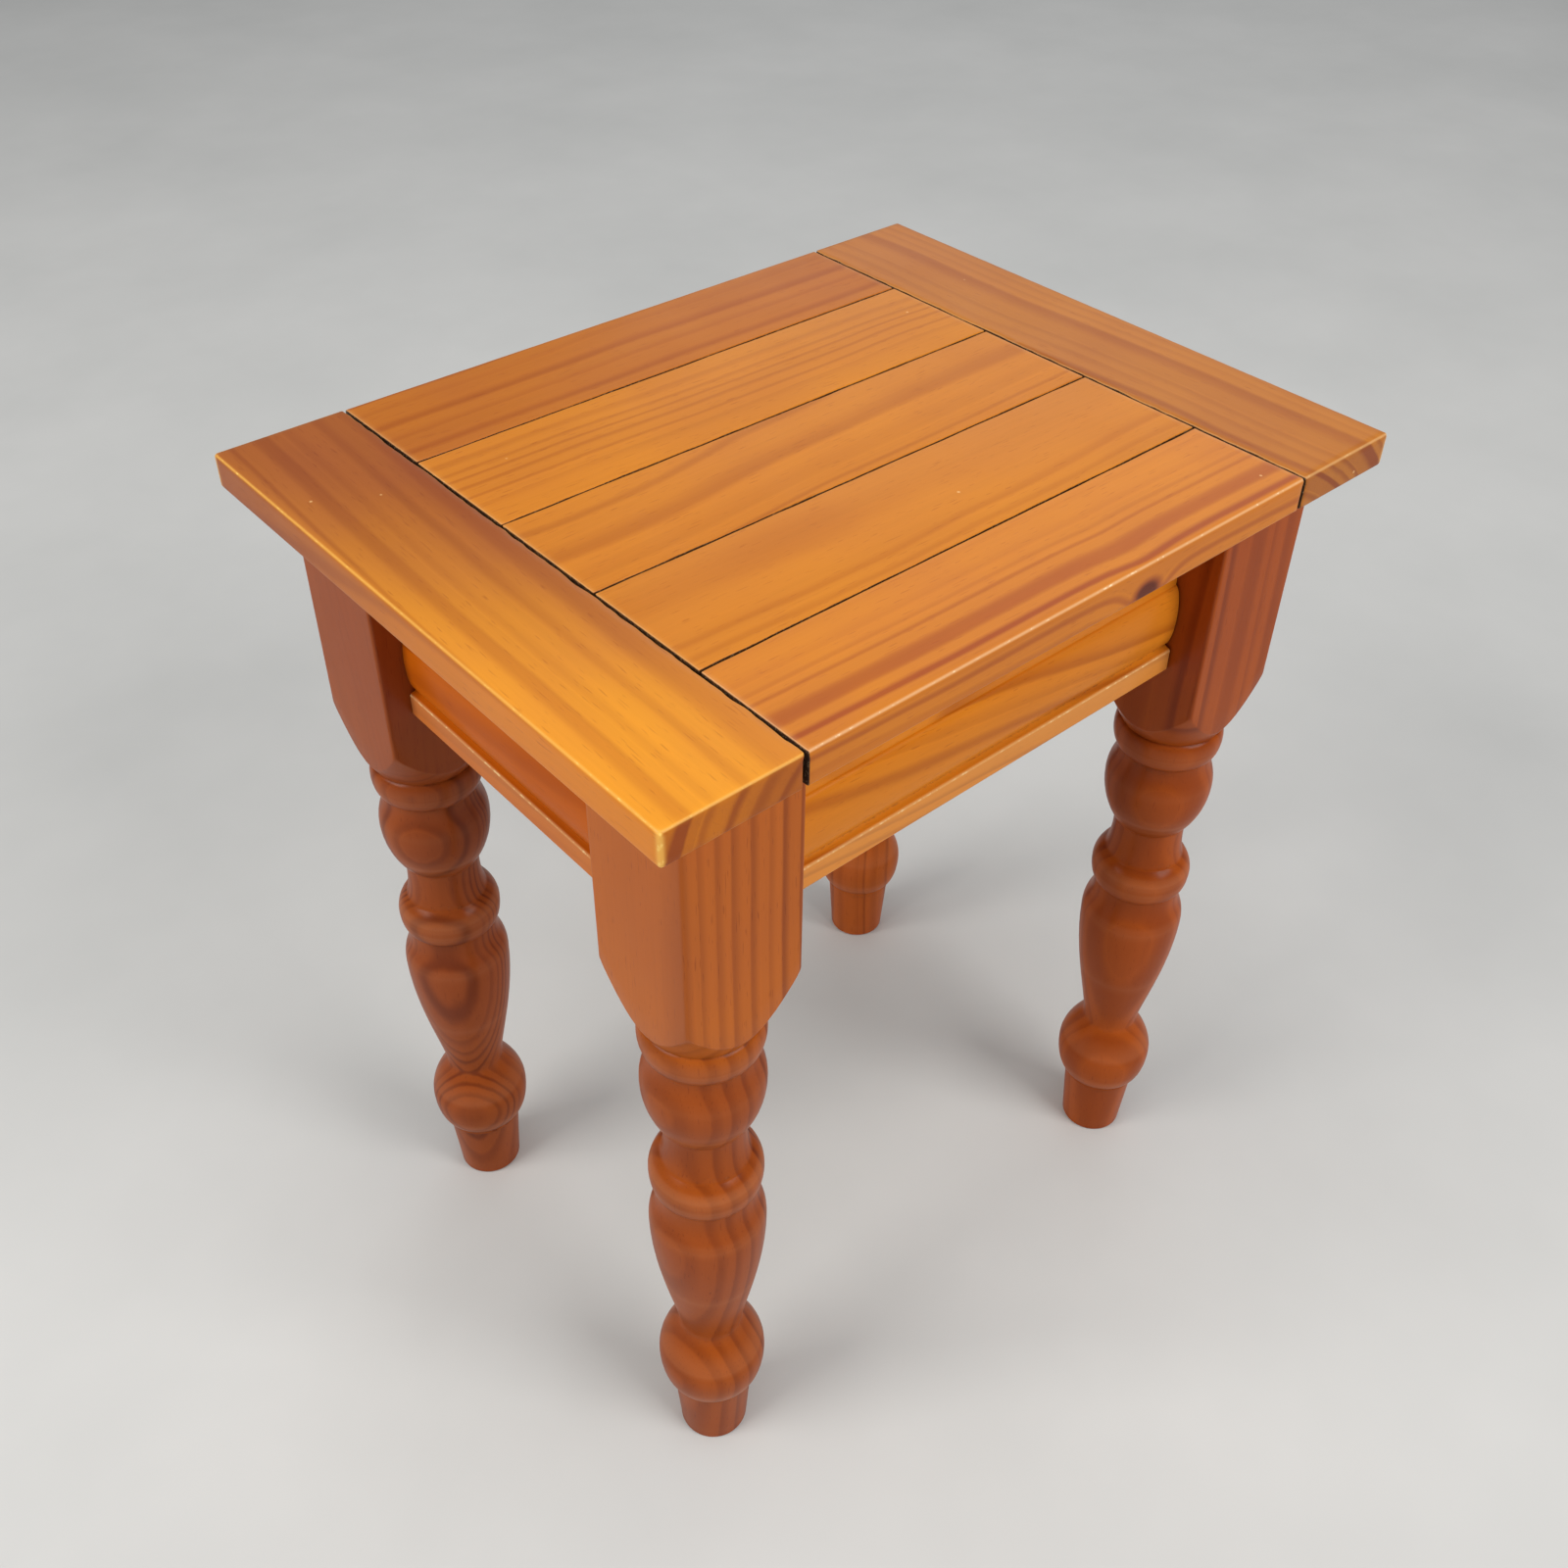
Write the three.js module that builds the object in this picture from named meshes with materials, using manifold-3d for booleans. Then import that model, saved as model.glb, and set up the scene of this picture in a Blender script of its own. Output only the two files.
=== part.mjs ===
// A small stained pine side table: five planks between two breadboard ends, four turned legs,
// moulded aprons, and one drawer whose moulded front stands between the two front legs.
//
// Millimetres, +Z up. The origin is on the floor, under the middle of the top.
// X runs along the planks (left is -X), and the drawer opens towards -Y (the front).

import * as THREE from 'three';
import { mergeVertices } from 'three/addons/utils/BufferGeometryUtils.js';
import Module from 'manifold-3d';

const wasm = await Module();
wasm.setup();

// ---- Driving dimensions ------------------------------------------------------------------

// The whole table
const HEIGHT = 539;
const TOP_LENGTH = 457;
const TOP_THICKNESS = 18;
const FIT_GAP = 0.3; // left between two pieces that touch

// The top
const PLANK_WIDTHS = [65.9, 72.1, 71.5, 73.3, 69.8]; // from the front edge to the back one
const BREADBOARD_WIDTH = 68.7;
const BREADBOARD_GAP = 2.4; // open slot between the plank ends and each breadboard end
const SEAM = 1.2; // open groove between two planks
const SEAM_EASE = 0.7;
const TONGUE_LENGTH = 6;
const TONGUE_THICKNESS = 5;
const EDGE_ROUND = 3; // sanded outer edges of the top
const END_ROUND = 2;

// The legs
const LEG_BLOCK = 65.4; // side of the square block
const LEG_CORNER_ROUND = 1.5;
const LEG_X = 171.2; // leg axis, from the middle of the table
const LEG_Y = 122.2;

// The aprons and the drawer front share one moulding
const APRON_BOTTOM = 411;
const APRON_THICKNESS = 20; // over the bead
const FASCIA_THICKNESS = 15.8;
const LONG_SETBACK = 20; // bead face behind the leg face, on the long sides
const SHORT_SETBACK = 14.5; // the same, on the short sides
const TENON_LENGTH = 20;
const TENON_THICKNESS = 9;
const TENON_INSET = 4; // tenon behind the back face of its apron

// The frame around the drawer
const RAIL_DEPTH = 22;
const RAIL_BEHIND_FRONT = 1.3; // closed drawer front to the rails
const RAIL_TENON_HEIGHT = 12;
const RUNNER_TOP = 432.5;
const RUNNER_THICKNESS = 18;
const KICKER_BOTTOM = 500;
const SUPPORT_REACH = 26.5; // how far runners and battens stand in past the leg blocks
const GUIDE_HEIGHT = 17;
const GUIDE_PROUD = 1.5; // guide face in front of the leg blocks' inner faces
const STOP_LENGTH = 10;
const STOP_HEIGHT = 19;

// The drawer
const FRONT_TOP_CLEARANCE = 2;
const FRONT_SIDE_CLEARANCE = 1;
const DRAWER_SIDE_THICKNESS = 12;
const DRAWER_SIDE_CLEARANCE = 1;
const DRAWER_RUNNING_GAP = 0.5; // above the runners and in front of the stops
const DRAWER_TOP_CLEARANCE = 1;
const DRAWER_BACK_CLEARANCE = 17; // drawer box to the back apron
const BOTTOM_THICKNESS = 4;
const BOTTOM_HEIGHT = 7.5; // bottom panel above the lower edge of the sides
const GROOVE_DEPTH = 6;
const HOUSING_DEPTH = 4; // of the drawer back in each side
const SIDE_TAIL = 8; // drawer side behind the drawer back

// Fixings
const TOP_DOWEL = { radius: 4, length: 30 };
const LEG_DOWEL = { radius: 5, length: 36 };
const LEG_DOWEL_OUT = 8; // outwards from the leg axis, to lie well inside the breadboard end
const LEG_DOWEL_RISE = 10; // how far it stands up into the breadboard end
const DRAWER_DOWEL = { radius: 3, length: 22 };
const DRAWER_DOWEL_HEIGHTS = [0.35, 0.8]; // of the drawer side's height
const SCREW = { headRadius: 4, headHeight: 3.2, radius: 2, tip: 4 };
const BATTEN_SCREW_LENGTH = 32;
const BATTEN_SCREW_INSET = 10; // screw axis in from the batten's inner edge
const RUNNER_SCREW_LENGTH = 30;
const RUNNER_SCREW_SPREAD = 60; // from the middle of the runner
const NAIL = { headRadius: 1.8, headHeight: 0.8, radius: 0.9, tip: 2 };
const NAIL_LENGTH = 20;
const NAIL_SPREAD = 60;

// How finely round shapes are divided
const CURVE_STEPS = 3;
const LEG_SIDES = 24;
const FIXING_SIDES = 8;

// ---- Levels and faces worked out from them ------------------------------------------------

const TOP_UNDERSIDE = HEIGHT - TOP_THICKNESS;
const TOP_WIDTH = PLANK_WIDTHS.reduce((sum, width) => sum + width, 0);
const BLOCK_HALF = LEG_BLOCK / 2;
const LEG_INNER_X = LEG_X - BLOCK_HALF; // inner faces of the leg blocks
const LEG_INNER_Y = LEG_Y - BLOCK_HALF;
const LEG_HEIGHT = TOP_UNDERSIDE - FIT_GAP;
const LONG_FACE = LEG_Y + BLOCK_HALF - LONG_SETBACK; // bead face of the long sides
const SHORT_FACE = LEG_X + BLOCK_HALF - SHORT_SETBACK;
const LONG_INNER = LONG_FACE - APRON_THICKNESS;
const SHORT_INNER = SHORT_FACE - APRON_THICKNESS;
const PLANK_END = TOP_LENGTH / 2 - BREADBOARD_WIDTH - BREADBOARD_GAP;
const RAIL_FRONT = LONG_INNER - RAIL_BEHIND_FRONT;
const RAIL_BACK = RAIL_FRONT - RAIL_DEPTH;
const APRON_TOP = TOP_UNDERSIDE - FIT_GAP;
const GUIDE_FACE = LEG_INNER_X - GUIDE_PROUD;
const BOX_HALF = GUIDE_FACE - DRAWER_SIDE_CLEARANCE; // outer faces of the drawer sides
const BOX_INNER = BOX_HALF - DRAWER_SIDE_THICKNESS;
const BOX_BOTTOM = RUNNER_TOP + DRAWER_RUNNING_GAP;
const BOX_TOP = KICKER_BOTTOM - DRAWER_TOP_CLEARANCE;
const BOX_FRONT = -LONG_INNER + FIT_GAP;
const BOX_BACK = LONG_INNER - DRAWER_BACK_CLEARANCE;
const BACK_FACE = BOX_BACK - SIDE_TAIL; // rear face of the drawer back
const PANEL_LOW = BOX_BOTTOM + BOTTOM_HEIGHT;
const PANEL_HIGH = PANEL_LOW + BOTTOM_THICKNESS;

// ---- Materials ---------------------------------------------------------------------------

const wood = (color, roughness) => new THREE.MeshStandardMaterial({ color, roughness, metalness: 0 });
const TOP_PINE = wood(0xb9682c, 0.35);
const LEG_PINE = wood(0x9c4f27, 0.45);
const APRON_PINE = wood(0xb8682a, 0.4);
const FRAME_PINE = wood(0xd2a468, 0.7);
const DRAWER_PINE = wood(0xd9b07a, 0.65);
const PLYWOOD = wood(0xc79f6b, 0.75);
const BEECH = wood(0xd3ab7c, 0.7);
const STEEL = new THREE.MeshStandardMaterial({ color: 0xa9a69c, roughness: 0.35, metalness: 0.9 });

// ---- Solids ------------------------------------------------------------------------------

const FRONTWARD = new THREE.Vector3(0, -1, 0);
const BACKWARD = new THREE.Vector3(0, 1, 0);
const LEFTWARD = new THREE.Vector3(-1, 0, 0);
const RIGHTWARD = new THREE.Vector3(1, 0, 0);
const UPWARD = new THREE.Vector3(0, 0, 1);

const SIDES = [
  { side: 'left', sign: -1, outward: LEFTWARD },
  { side: 'right', sign: 1, outward: RIGHTWARD },
];
const ENDS = [
  { end: 'front', sign: -1, outward: FRONTWARD },
  { end: 'back', sign: 1, outward: BACKWARD },
];

// A closed mesh as a solid that can be joined and cut.
function toSolid(geometry) {
  const bare = geometry.clone();
  bare.deleteAttribute('normal');
  bare.deleteAttribute('uv');
  const merged = mergeVertices(bare, 1e-4);
  const index = merged.index.array;
  const triangles = [];
  for (let i = 0; i < index.length; i += 3) {
    const [a, b, c] = [index[i], index[i + 1], index[i + 2]];
    if (a !== b && b !== c && c !== a) triangles.push(a, b, c);
  }
  return new wasm.Manifold(new wasm.Mesh({
    numProp: 3,
    vertProperties: Float32Array.from(merged.attributes.position.array),
    triVerts: Uint32Array.from(triangles),
  }));
}

function toGeometry(solid) {
  const mesh = solid.getMesh();
  const geometry = new THREE.BufferGeometry();
  geometry.setAttribute('position', new THREE.BufferAttribute(mesh.vertProperties, 3));
  geometry.setIndex(new THREE.BufferAttribute(mesh.triVerts, 1));
  geometry.computeVertexNormals();
  return geometry;
}

function cut(solid, tools) {
  return tools.reduce((left, tool) => left.subtract(tool), solid);
}

// A block between two opposite corners.
function block(low, high) {
  const size = high.map((value, i) => value - low[i]);
  const geometry = new THREE.BoxGeometry(...size);
  geometry.translate(...low.map((value, i) => value + size[i] / 2));
  return geometry;
}

// A closed outline through corners [x, y, radius], each rounded by its radius.
function outline(corners) {
  const shape = new THREE.Shape();
  const at = (i) => new THREE.Vector2(...corners[(i + corners.length) % corners.length]);
  const step = (from, to, distance) => to.clone().sub(from).setLength(distance).add(from);
  corners.forEach(([x, y, radius = 0], i) => {
    const start = step(at(i), at(i - 1), radius);
    const end = step(at(i), at(i + 1), radius);
    if (i === 0) shape.moveTo(start.x, start.y);
    else shape.lineTo(start.x, start.y);
    if (radius > 0) shape.quadraticCurveTo(x, y, end.x, end.y);
  });
  shape.closePath();
  return shape;
}

// A section, drawn with x pointing outward and y up, run for a length centred on the origin.
function run(section, length, outward) {
  const geometry = new THREE.ExtrudeGeometry(section, {
    depth: length,
    curveSegments: CURVE_STEPS,
    bevelEnabled: false,
  });
  geometry.translate(0, 0, -length / 2);
  const along = outward.clone().cross(UPWARD);
  geometry.applyMatrix4(new THREE.Matrix4().makeBasis(outward, UPWARD, along));
  return geometry;
}

// A plan outline, drawn with x and y, between two heights.
function slab(plan, low, high) {
  const geometry = new THREE.ExtrudeGeometry(plan, {
    depth: high - low,
    curveSegments: CURVE_STEPS,
    bevelEnabled: false,
  });
  geometry.translate(0, 0, low);
  return geometry;
}

// A profile [radius, height] turned about the vertical axis.
function turned(points, sides) {
  const geometry = new THREE.LatheGeometry(points, sides);
  geometry.rotateX(Math.PI / 2);
  return geometry;
}

// Mirrors a span about zero for the negative side, keeping its low end first.
function span(sign, near, far) {
  return sign > 0 ? [near, far] : [-far, -near];
}

// ---- Fixings: dowels, screws and nails -----------------------------------------------------

// A pin with chamfered ends, centred on the origin and standing along Z.
function dowelGeometry({ radius, length }, grow = 0) {
  const half = length / 2 + grow;
  const chamfer = radius / 4;
  const r = radius + grow;
  return turned([
    new THREE.Vector2(0, -half),
    new THREE.Vector2(r - chamfer, -half),
    new THREE.Vector2(r, -half + chamfer),
    new THREE.Vector2(r, half - chamfer),
    new THREE.Vector2(r - chamfer, half),
    new THREE.Vector2(0, half),
  ], FIXING_SIDES);
}

// A countersunk screw or a nail, its head's face at the origin and its point along +Z.
function screwGeometry({ headRadius, headHeight, radius, tip }, length, grow = 0) {
  return turned([
    new THREE.Vector2(0, -grow),
    new THREE.Vector2(headRadius + grow, -grow),
    new THREE.Vector2(radius + grow, headHeight + grow),
    new THREE.Vector2(radius + grow, length - tip),
    new THREE.Vector2(0, length + grow),
  ], FIXING_SIDES);
}

// A fixing is { name, at, along, shape }: shape(grow) makes its geometry, standing at the origin.
const dowel = (size) => (grow) => dowelGeometry(size, grow);
const screw = (size, length) => (grow) => screwGeometry(size, length, grow);

// The holes that a list of fixings needs, each a little larger than its fixing.
function holesFor(places) {
  return places.map(({ at, along, shape }) => {
    const geometry = shape(FIT_GAP);
    geometry.applyQuaternion(new THREE.Quaternion().setFromUnitVectors(UPWARD, along));
    geometry.translate(...at);
    return toSolid(geometry);
  });
}

// The front edge of each plank, its middle and its back edge.
const PLANKS = PLANK_WIDTHS.map((width, i) => {
  const front = PLANK_WIDTHS.slice(0, i).reduce((sum, each) => sum + each, -TOP_WIDTH / 2);
  return { front, middle: front + width / 2, back: front + width };
});

const TOP_DOWELS = SIDES.flatMap(({ side, sign }) => PLANKS.map(({ middle }, i) => ({
  name: `top_dowel_${side}_${i + 1}`,
  at: [sign * (PLANK_END + BREADBOARD_GAP / 2), middle, TOP_UNDERSIDE + TOP_THICKNESS / 2],
  along: RIGHTWARD,
  shape: dowel(TOP_DOWEL),
})));

const LEG_DOWELS = SIDES.flatMap((side) => ENDS.map((end) => ({
  name: `leg_dowel_${end.end}_${side.side}`,
  at: [
    side.sign * (LEG_X + LEG_DOWEL_OUT),
    end.sign * LEG_Y,
    TOP_UNDERSIDE + LEG_DOWEL_RISE - LEG_DOWEL.length / 2,
  ],
  along: UPWARD,
  shape: dowel(LEG_DOWEL),
})));

// The two outermost planks lie on the leg blocks and need no screws.
const BATTEN_SCREWS = SIDES.flatMap(({ side, sign }) => PLANKS.slice(1, -1).map(({ middle }, i) => ({
  name: `batten_screw_${side}_${i + 1}`,
  at: [sign * (LEG_INNER_X - SUPPORT_REACH + BATTEN_SCREW_INSET), middle, KICKER_BOTTOM],
  along: UPWARD,
  shape: screw(SCREW, BATTEN_SCREW_LENGTH),
})));

const RUNNER_SCREWS = SIDES.flatMap(({ side, sign }) => ENDS.map((end) => ({
  name: `runner_screw_${end.end}_${side}`,
  at: [
    sign * (GUIDE_FACE + SHORT_INNER) / 2,
    end.sign * RUNNER_SCREW_SPREAD,
    RUNNER_TOP - RUNNER_THICKNESS,
  ],
  along: UPWARD,
  shape: screw(SCREW, RUNNER_SCREW_LENGTH),
})));

const DRAWER_DOWELS = SIDES.flatMap(({ side, sign }) => DRAWER_DOWEL_HEIGHTS.map((share, i) => ({
  name: `drawer_dowel_${side}_${i + 1}`,
  at: [
    sign * (BOX_HALF + BOX_INNER) / 2,
    BOX_FRONT,
    BOX_BOTTOM + share * (BOX_TOP - BOX_BOTTOM),
  ],
  along: BACKWARD,
  shape: dowel(DRAWER_DOWEL),
})));

const BOTTOM_NAILS = SIDES.map(({ side, sign }) => ({
  name: `drawer_bottom_nail_${side}`,
  at: [sign * NAIL_SPREAD, BACK_FACE - DRAWER_SIDE_THICKNESS / 2, PANEL_LOW],
  along: UPWARD,
  shape: screw(NAIL, NAIL_LENGTH),
}));

// ---- The top -------------------------------------------------------------------------------

// A plank's section, with x from the front edge to the back one. The outer edges of the outer
// planks are rounded; every edge between two planks has a tongue or a groove.
function plankSection(width, isFirst, isLast) {
  const low = 0;
  const high = TOP_THICKNESS;
  const tongueLow = (TOP_THICKNESS - TONGUE_THICKNESS) / 2;
  const tongueHigh = tongueLow + TONGUE_THICKNESS;
  const left = isFirst ? 0 : SEAM / 2;
  const right = isLast ? width : width - SEAM / 2;
  const groove = [
    [left, tongueHigh + FIT_GAP],
    [left + TONGUE_LENGTH, tongueHigh + FIT_GAP],
    [left + TONGUE_LENGTH, tongueLow - FIT_GAP],
    [left, tongueLow - FIT_GAP],
  ];
  const tongue = [
    [right, tongueLow],
    [right + TONGUE_LENGTH, tongueLow],
    [right + TONGUE_LENGTH, tongueHigh],
    [right, tongueHigh],
  ];
  return outline([
    [left, low, isFirst ? END_ROUND : 0],
    [right, low, isLast ? END_ROUND : 0],
    ...(isLast ? [] : tongue),
    [right, high, isLast ? EDGE_ROUND : SEAM_EASE],
    [left, high, isFirst ? EDGE_ROUND : SEAM_EASE],
    ...(isFirst ? [] : groove),
  ]);
}

function plank(i) {
  const section = plankSection(PLANK_WIDTHS[i], i === 0, i === PLANK_WIDTHS.length - 1);
  const geometry = run(section, 2 * PLANK_END, BACKWARD);
  geometry.translate(0, PLANKS[i].front, TOP_UNDERSIDE);
  const holes = [
    ...holesFor(TOP_DOWELS),
    ...holesFor(BATTEN_SCREWS),
  ];
  return cut(toSolid(geometry), holes);
}

// A breadboard end: its long edges, its ends and its corners are all rounded, so it is what three
// rounded outlines, seen from the end, from the side and from above, have in common.
function breadboard({ sign, outward }) {
  const halfWidth = TOP_WIDTH / 2;
  const fromEnd = outline([
    [0, 0, SEAM_EASE],
    [BREADBOARD_WIDTH, 0, END_ROUND],
    [BREADBOARD_WIDTH, TOP_THICKNESS, EDGE_ROUND],
    [0, TOP_THICKNESS, SEAM_EASE],
  ]);
  const fromSide = outline([
    [-halfWidth, 0, END_ROUND],
    [halfWidth, 0, END_ROUND],
    [halfWidth, TOP_THICKNESS, END_ROUND],
    [-halfWidth, TOP_THICKNESS, END_ROUND],
  ]);
  const fromAbove = outline([
    [-BREADBOARD_WIDTH / 2, -halfWidth, END_ROUND],
    [BREADBOARD_WIDTH / 2, -halfWidth, END_ROUND],
    [BREADBOARD_WIDTH / 2, halfWidth, END_ROUND],
    [-BREADBOARD_WIDTH / 2, halfWidth, END_ROUND],
  ]);
  const inner = TOP_LENGTH / 2 - BREADBOARD_WIDTH;
  const board = toSolid(run(fromEnd, TOP_WIDTH, outward)).translate([sign * inner, 0, 0]);
  const middle = sign * (inner + BREADBOARD_WIDTH / 2);
  const solid = board
    .intersect(toSolid(run(fromSide, 2 * TOP_LENGTH, BACKWARD)))
    .intersect(toSolid(slab(fromAbove, -1, TOP_THICKNESS + 1)).translate([middle, 0, 0]))
    .translate([0, 0, TOP_UNDERSIDE]);
  const holes = [
    ...holesFor(TOP_DOWELS),
    ...holesFor(LEG_DOWELS),
  ];
  return cut(solid, holes);
}

// ---- The legs ------------------------------------------------------------------------------

// The turning, from the foot up: tapered foot, fillet, bulb, baluster, ring, cove, ball, ring,
// and the cone that runs out into the corners of the square block.
function legProfile() {
  const beyondCorner = BLOCK_HALF * 1.45;
  const path = new THREE.Path();
  path.moveTo(0, 0);
  path.lineTo(18.2, 0);
  path.lineTo(19.3, 1.2);
  path.lineTo(22.6, 47.5);
  path.lineTo(24, 48.5);
  path.lineTo(24, 51);
  path.bezierCurveTo(27.5, 53, 30, 61, 30, 72.5);
  path.bezierCurveTo(30, 87, 17.4, 99, 17.3, 103.5);
  path.bezierCurveTo(19.1, 121.5, 30.9, 161, 30.9, 199.5);
  path.bezierCurveTo(30.9, 212, 26.3, 212, 26, 224);
  path.lineTo(26, 229.5);
  path.bezierCurveTo(28.4, 229.8, 29.6, 235, 29.6, 241);
  path.bezierCurveTo(29.6, 247.5, 25.5, 252, 23.2, 254.5);
  path.bezierCurveTo(21, 260, 20.6, 272, 21.1, 279.5);
  path.bezierCurveTo(24.5, 284, 31, 295.5, 31, 311);
  path.bezierCurveTo(31, 322, 27.4, 324, 26.6, 333.5);
  path.lineTo(26.6, 336);
  path.bezierCurveTo(29.4, 336.5, 30.9, 342, 30.9, 347);
  path.bezierCurveTo(30.9, 351.5, 30, 354.5, 28.3, 355.8);
  path.lineTo(43.4, 384);
  path.quadraticCurveTo(46, 389, beyondCorner, 397);
  path.lineTo(beyondCorner, LEG_HEIGHT);
  path.lineTo(0, LEG_HEIGHT);
  return path.getPoints(CURVE_STEPS);
}

// The mortises, in the leg's own frame. inX and inY point from the leg to the middle of the table.
function legMortises(inX, inY, railTenons, apronTenon) {
  const [railLow, railHigh] = [BLOCK_HALF - TENON_LENGTH - FIT_GAP, BLOCK_HALF + 1];
  const holes = railTenons.map(({ y, z }) => {
    const [x0, x1] = span(inX, railLow, railHigh);
    return block([x0, y[0] - FIT_GAP, z[0] - FIT_GAP], [x1, y[1] + FIT_GAP, z[1] + FIT_GAP]);
  });
  const [y0, y1] = span(inY, railLow, railHigh);
  const { x, z } = apronTenon;
  holes.push(block([x[0] - FIT_GAP, y0, z[0] - FIT_GAP], [x[1] + FIT_GAP, y1, z[1] + FIT_GAP]));
  return holes;
}

const APRON_TENON_Z = [APRON_BOTTOM + 20, APRON_TOP - 15];
const RAILS = [
  { name: 'front_top_rail', low: KICKER_BOTTOM, high: APRON_TOP },
  { name: 'front_bottom_rail', low: APRON_BOTTOM, high: RUNNER_TOP },
];

function railTenonSpan({ low, high }) {
  const middle = (low + high) / 2;
  const middleY = (RAIL_FRONT + RAIL_BACK) / 2;
  return {
    y: [-middleY - TENON_THICKNESS / 2, -middleY + TENON_THICKNESS / 2],
    z: [middle - RAIL_TENON_HEIGHT / 2, middle + RAIL_TENON_HEIGHT / 2],
  };
}

function leg(side, end) {
  const centre = [side.sign * LEG_X, end.sign * LEG_Y];
  const square = outline([
    [-BLOCK_HALF, -BLOCK_HALF, LEG_CORNER_ROUND],
    [BLOCK_HALF, -BLOCK_HALF, LEG_CORNER_ROUND],
    [BLOCK_HALF, BLOCK_HALF, LEG_CORNER_ROUND],
    [-BLOCK_HALF, BLOCK_HALF, LEG_CORNER_ROUND],
  ]);
  const blank = toSolid(slab(square, -1, LEG_HEIGHT + 1));
  const shaped = toSolid(turned(legProfile(), LEG_SIDES)).intersect(blank);
  const backTenonY = span(1, LONG_INNER + TENON_INSET, LONG_INNER + TENON_INSET + TENON_THICKNESS);
  const longTenons = end.sign > 0
    ? [{ y: backTenonY, z: APRON_TENON_Z }]
    : RAILS.map(railTenonSpan);
  const inner = SHORT_INNER + TENON_INSET;
  const shortTenon = { x: span(side.sign, inner, inner + TENON_THICKNESS), z: APRON_TENON_Z };
  const localLong = longTenons.map(({ y, z }) => ({ y: y.map((value) => value - centre[1]), z }));
  const localShort = { x: shortTenon.x.map((value) => value - centre[0]), z: shortTenon.z };
  const mortises = legMortises(-side.sign, -end.sign, localLong, localShort).map(toSolid);
  const dowelHoles = holesFor(LEG_DOWELS)
    .map((hole) => hole.translate([-centre[0], -centre[1], 0]));
  return cut(shaped, [...mortises, ...dowelHoles]);
}

// ---- Aprons and drawer front -----------------------------------------------------------------

// The moulded section, x outward from the back face: bead, quirk, half-round swell and fascia.
function moulding(top, back = []) {
  const beadTop = APRON_BOTTOM + 13.5;
  const quirkLow = beadTop + 2.8;
  const swellHeight = 37;
  const swellDepth = APRON_THICKNESS - FASCIA_THICKNESS + 0.2;
  const swellMiddle = quirkLow + 1.7 + swellHeight / 2;
  const shape = new THREE.Shape();
  shape.moveTo(0, APRON_BOTTOM);
  shape.lineTo(APRON_THICKNESS - 2, APRON_BOTTOM);
  shape.quadraticCurveTo(APRON_THICKNESS, APRON_BOTTOM, APRON_THICKNESS, APRON_BOTTOM + 2);
  shape.lineTo(APRON_THICKNESS, beadTop - 1.2);
  shape.quadraticCurveTo(APRON_THICKNESS, beadTop, APRON_THICKNESS - 1.2, beadTop + 0.8);
  shape.lineTo(FASCIA_THICKNESS, quirkLow);
  shape.lineTo(FASCIA_THICKNESS, swellMiddle - swellHeight / 2);
  const quarter = Math.PI / 2;
  shape.absellipse(FASCIA_THICKNESS, swellMiddle, swellDepth, swellHeight / 2, -quarter, quarter, false);
  shape.lineTo(FASCIA_THICKNESS, top);
  shape.lineTo(0, top);
  back.forEach(([x, y]) => shape.lineTo(x, y));
  shape.closePath();
  return shape;
}

// A moulded apron between two legs, with a tenon at each end.
function apron(outward, inner, gapBetweenLegs) {
  const length = gapBetweenLegs - 2 * FIT_GAP;
  const tenon = outline([
    [TENON_INSET, APRON_TENON_Z[0]],
    [TENON_INSET + TENON_THICKNESS, APRON_TENON_Z[0]],
    [TENON_INSET + TENON_THICKNESS, APRON_TENON_Z[1]],
    [TENON_INSET, APRON_TENON_Z[1]],
  ]);
  const board = toSolid(run(moulding(APRON_TOP), length, outward));
  const tenons = toSolid(run(tenon, length + 2 * (TENON_LENGTH - FIT_GAP), outward));
  return board.add(tenons).translate(outward.clone().multiplyScalar(inner).toArray());
}

// The front of the drawer, with a groove for the bottom panel along its back face.
function drawerFront() {
  const groove = [
    [0, PANEL_HIGH + FIT_GAP],
    [GROOVE_DEPTH, PANEL_HIGH + FIT_GAP],
    [GROOVE_DEPTH, PANEL_LOW - FIT_GAP],
    [0, PANEL_LOW - FIT_GAP],
  ];
  const section = moulding(TOP_UNDERSIDE - FRONT_TOP_CLEARANCE, groove);
  const geometry = run(section, 2 * (LEG_INNER_X - FRONT_SIDE_CLEARANCE), FRONTWARD);
  geometry.translate(0, -LONG_INNER, 0);
  return cut(toSolid(geometry), holesFor(DRAWER_DOWELS));
}

// ---- The frame around the drawer --------------------------------------------------------------

function rail(each) {
  const reach = LEG_INNER_X - FIT_GAP;
  const tenonReach = reach + TENON_LENGTH - FIT_GAP;
  const { y, z } = railTenonSpan(each);
  const body = toSolid(block([-reach, -RAIL_FRONT, each.low], [reach, -RAIL_BACK, each.high]));
  return body.add(toSolid(block([-tenonReach, y[0], z[0]], [tenonReach, y[1], z[1]])));
}

// A flat piece beside the drawer, notched round both leg blocks: the runner and the batten.
function supportPlan(sign) {
  const outer = SHORT_INNER - FIT_GAP;
  const legFace = LEG_INNER_X - FIT_GAP;
  const inner = LEG_INNER_X - SUPPORT_REACH;
  const front = -RAIL_BACK + FIT_GAP;
  const notch = LEG_INNER_Y - FIT_GAP;
  const back = LONG_INNER - FIT_GAP;
  const corners = [
    [inner, front],
    [legFace, front],
    [legFace, -notch],
    [outer, -notch],
    [outer, notch],
    [legFace, notch],
    [legFace, back],
    [inner, back],
  ];
  return outline(corners.map(([x, y]) => [sign * x, y]));
}

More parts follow.
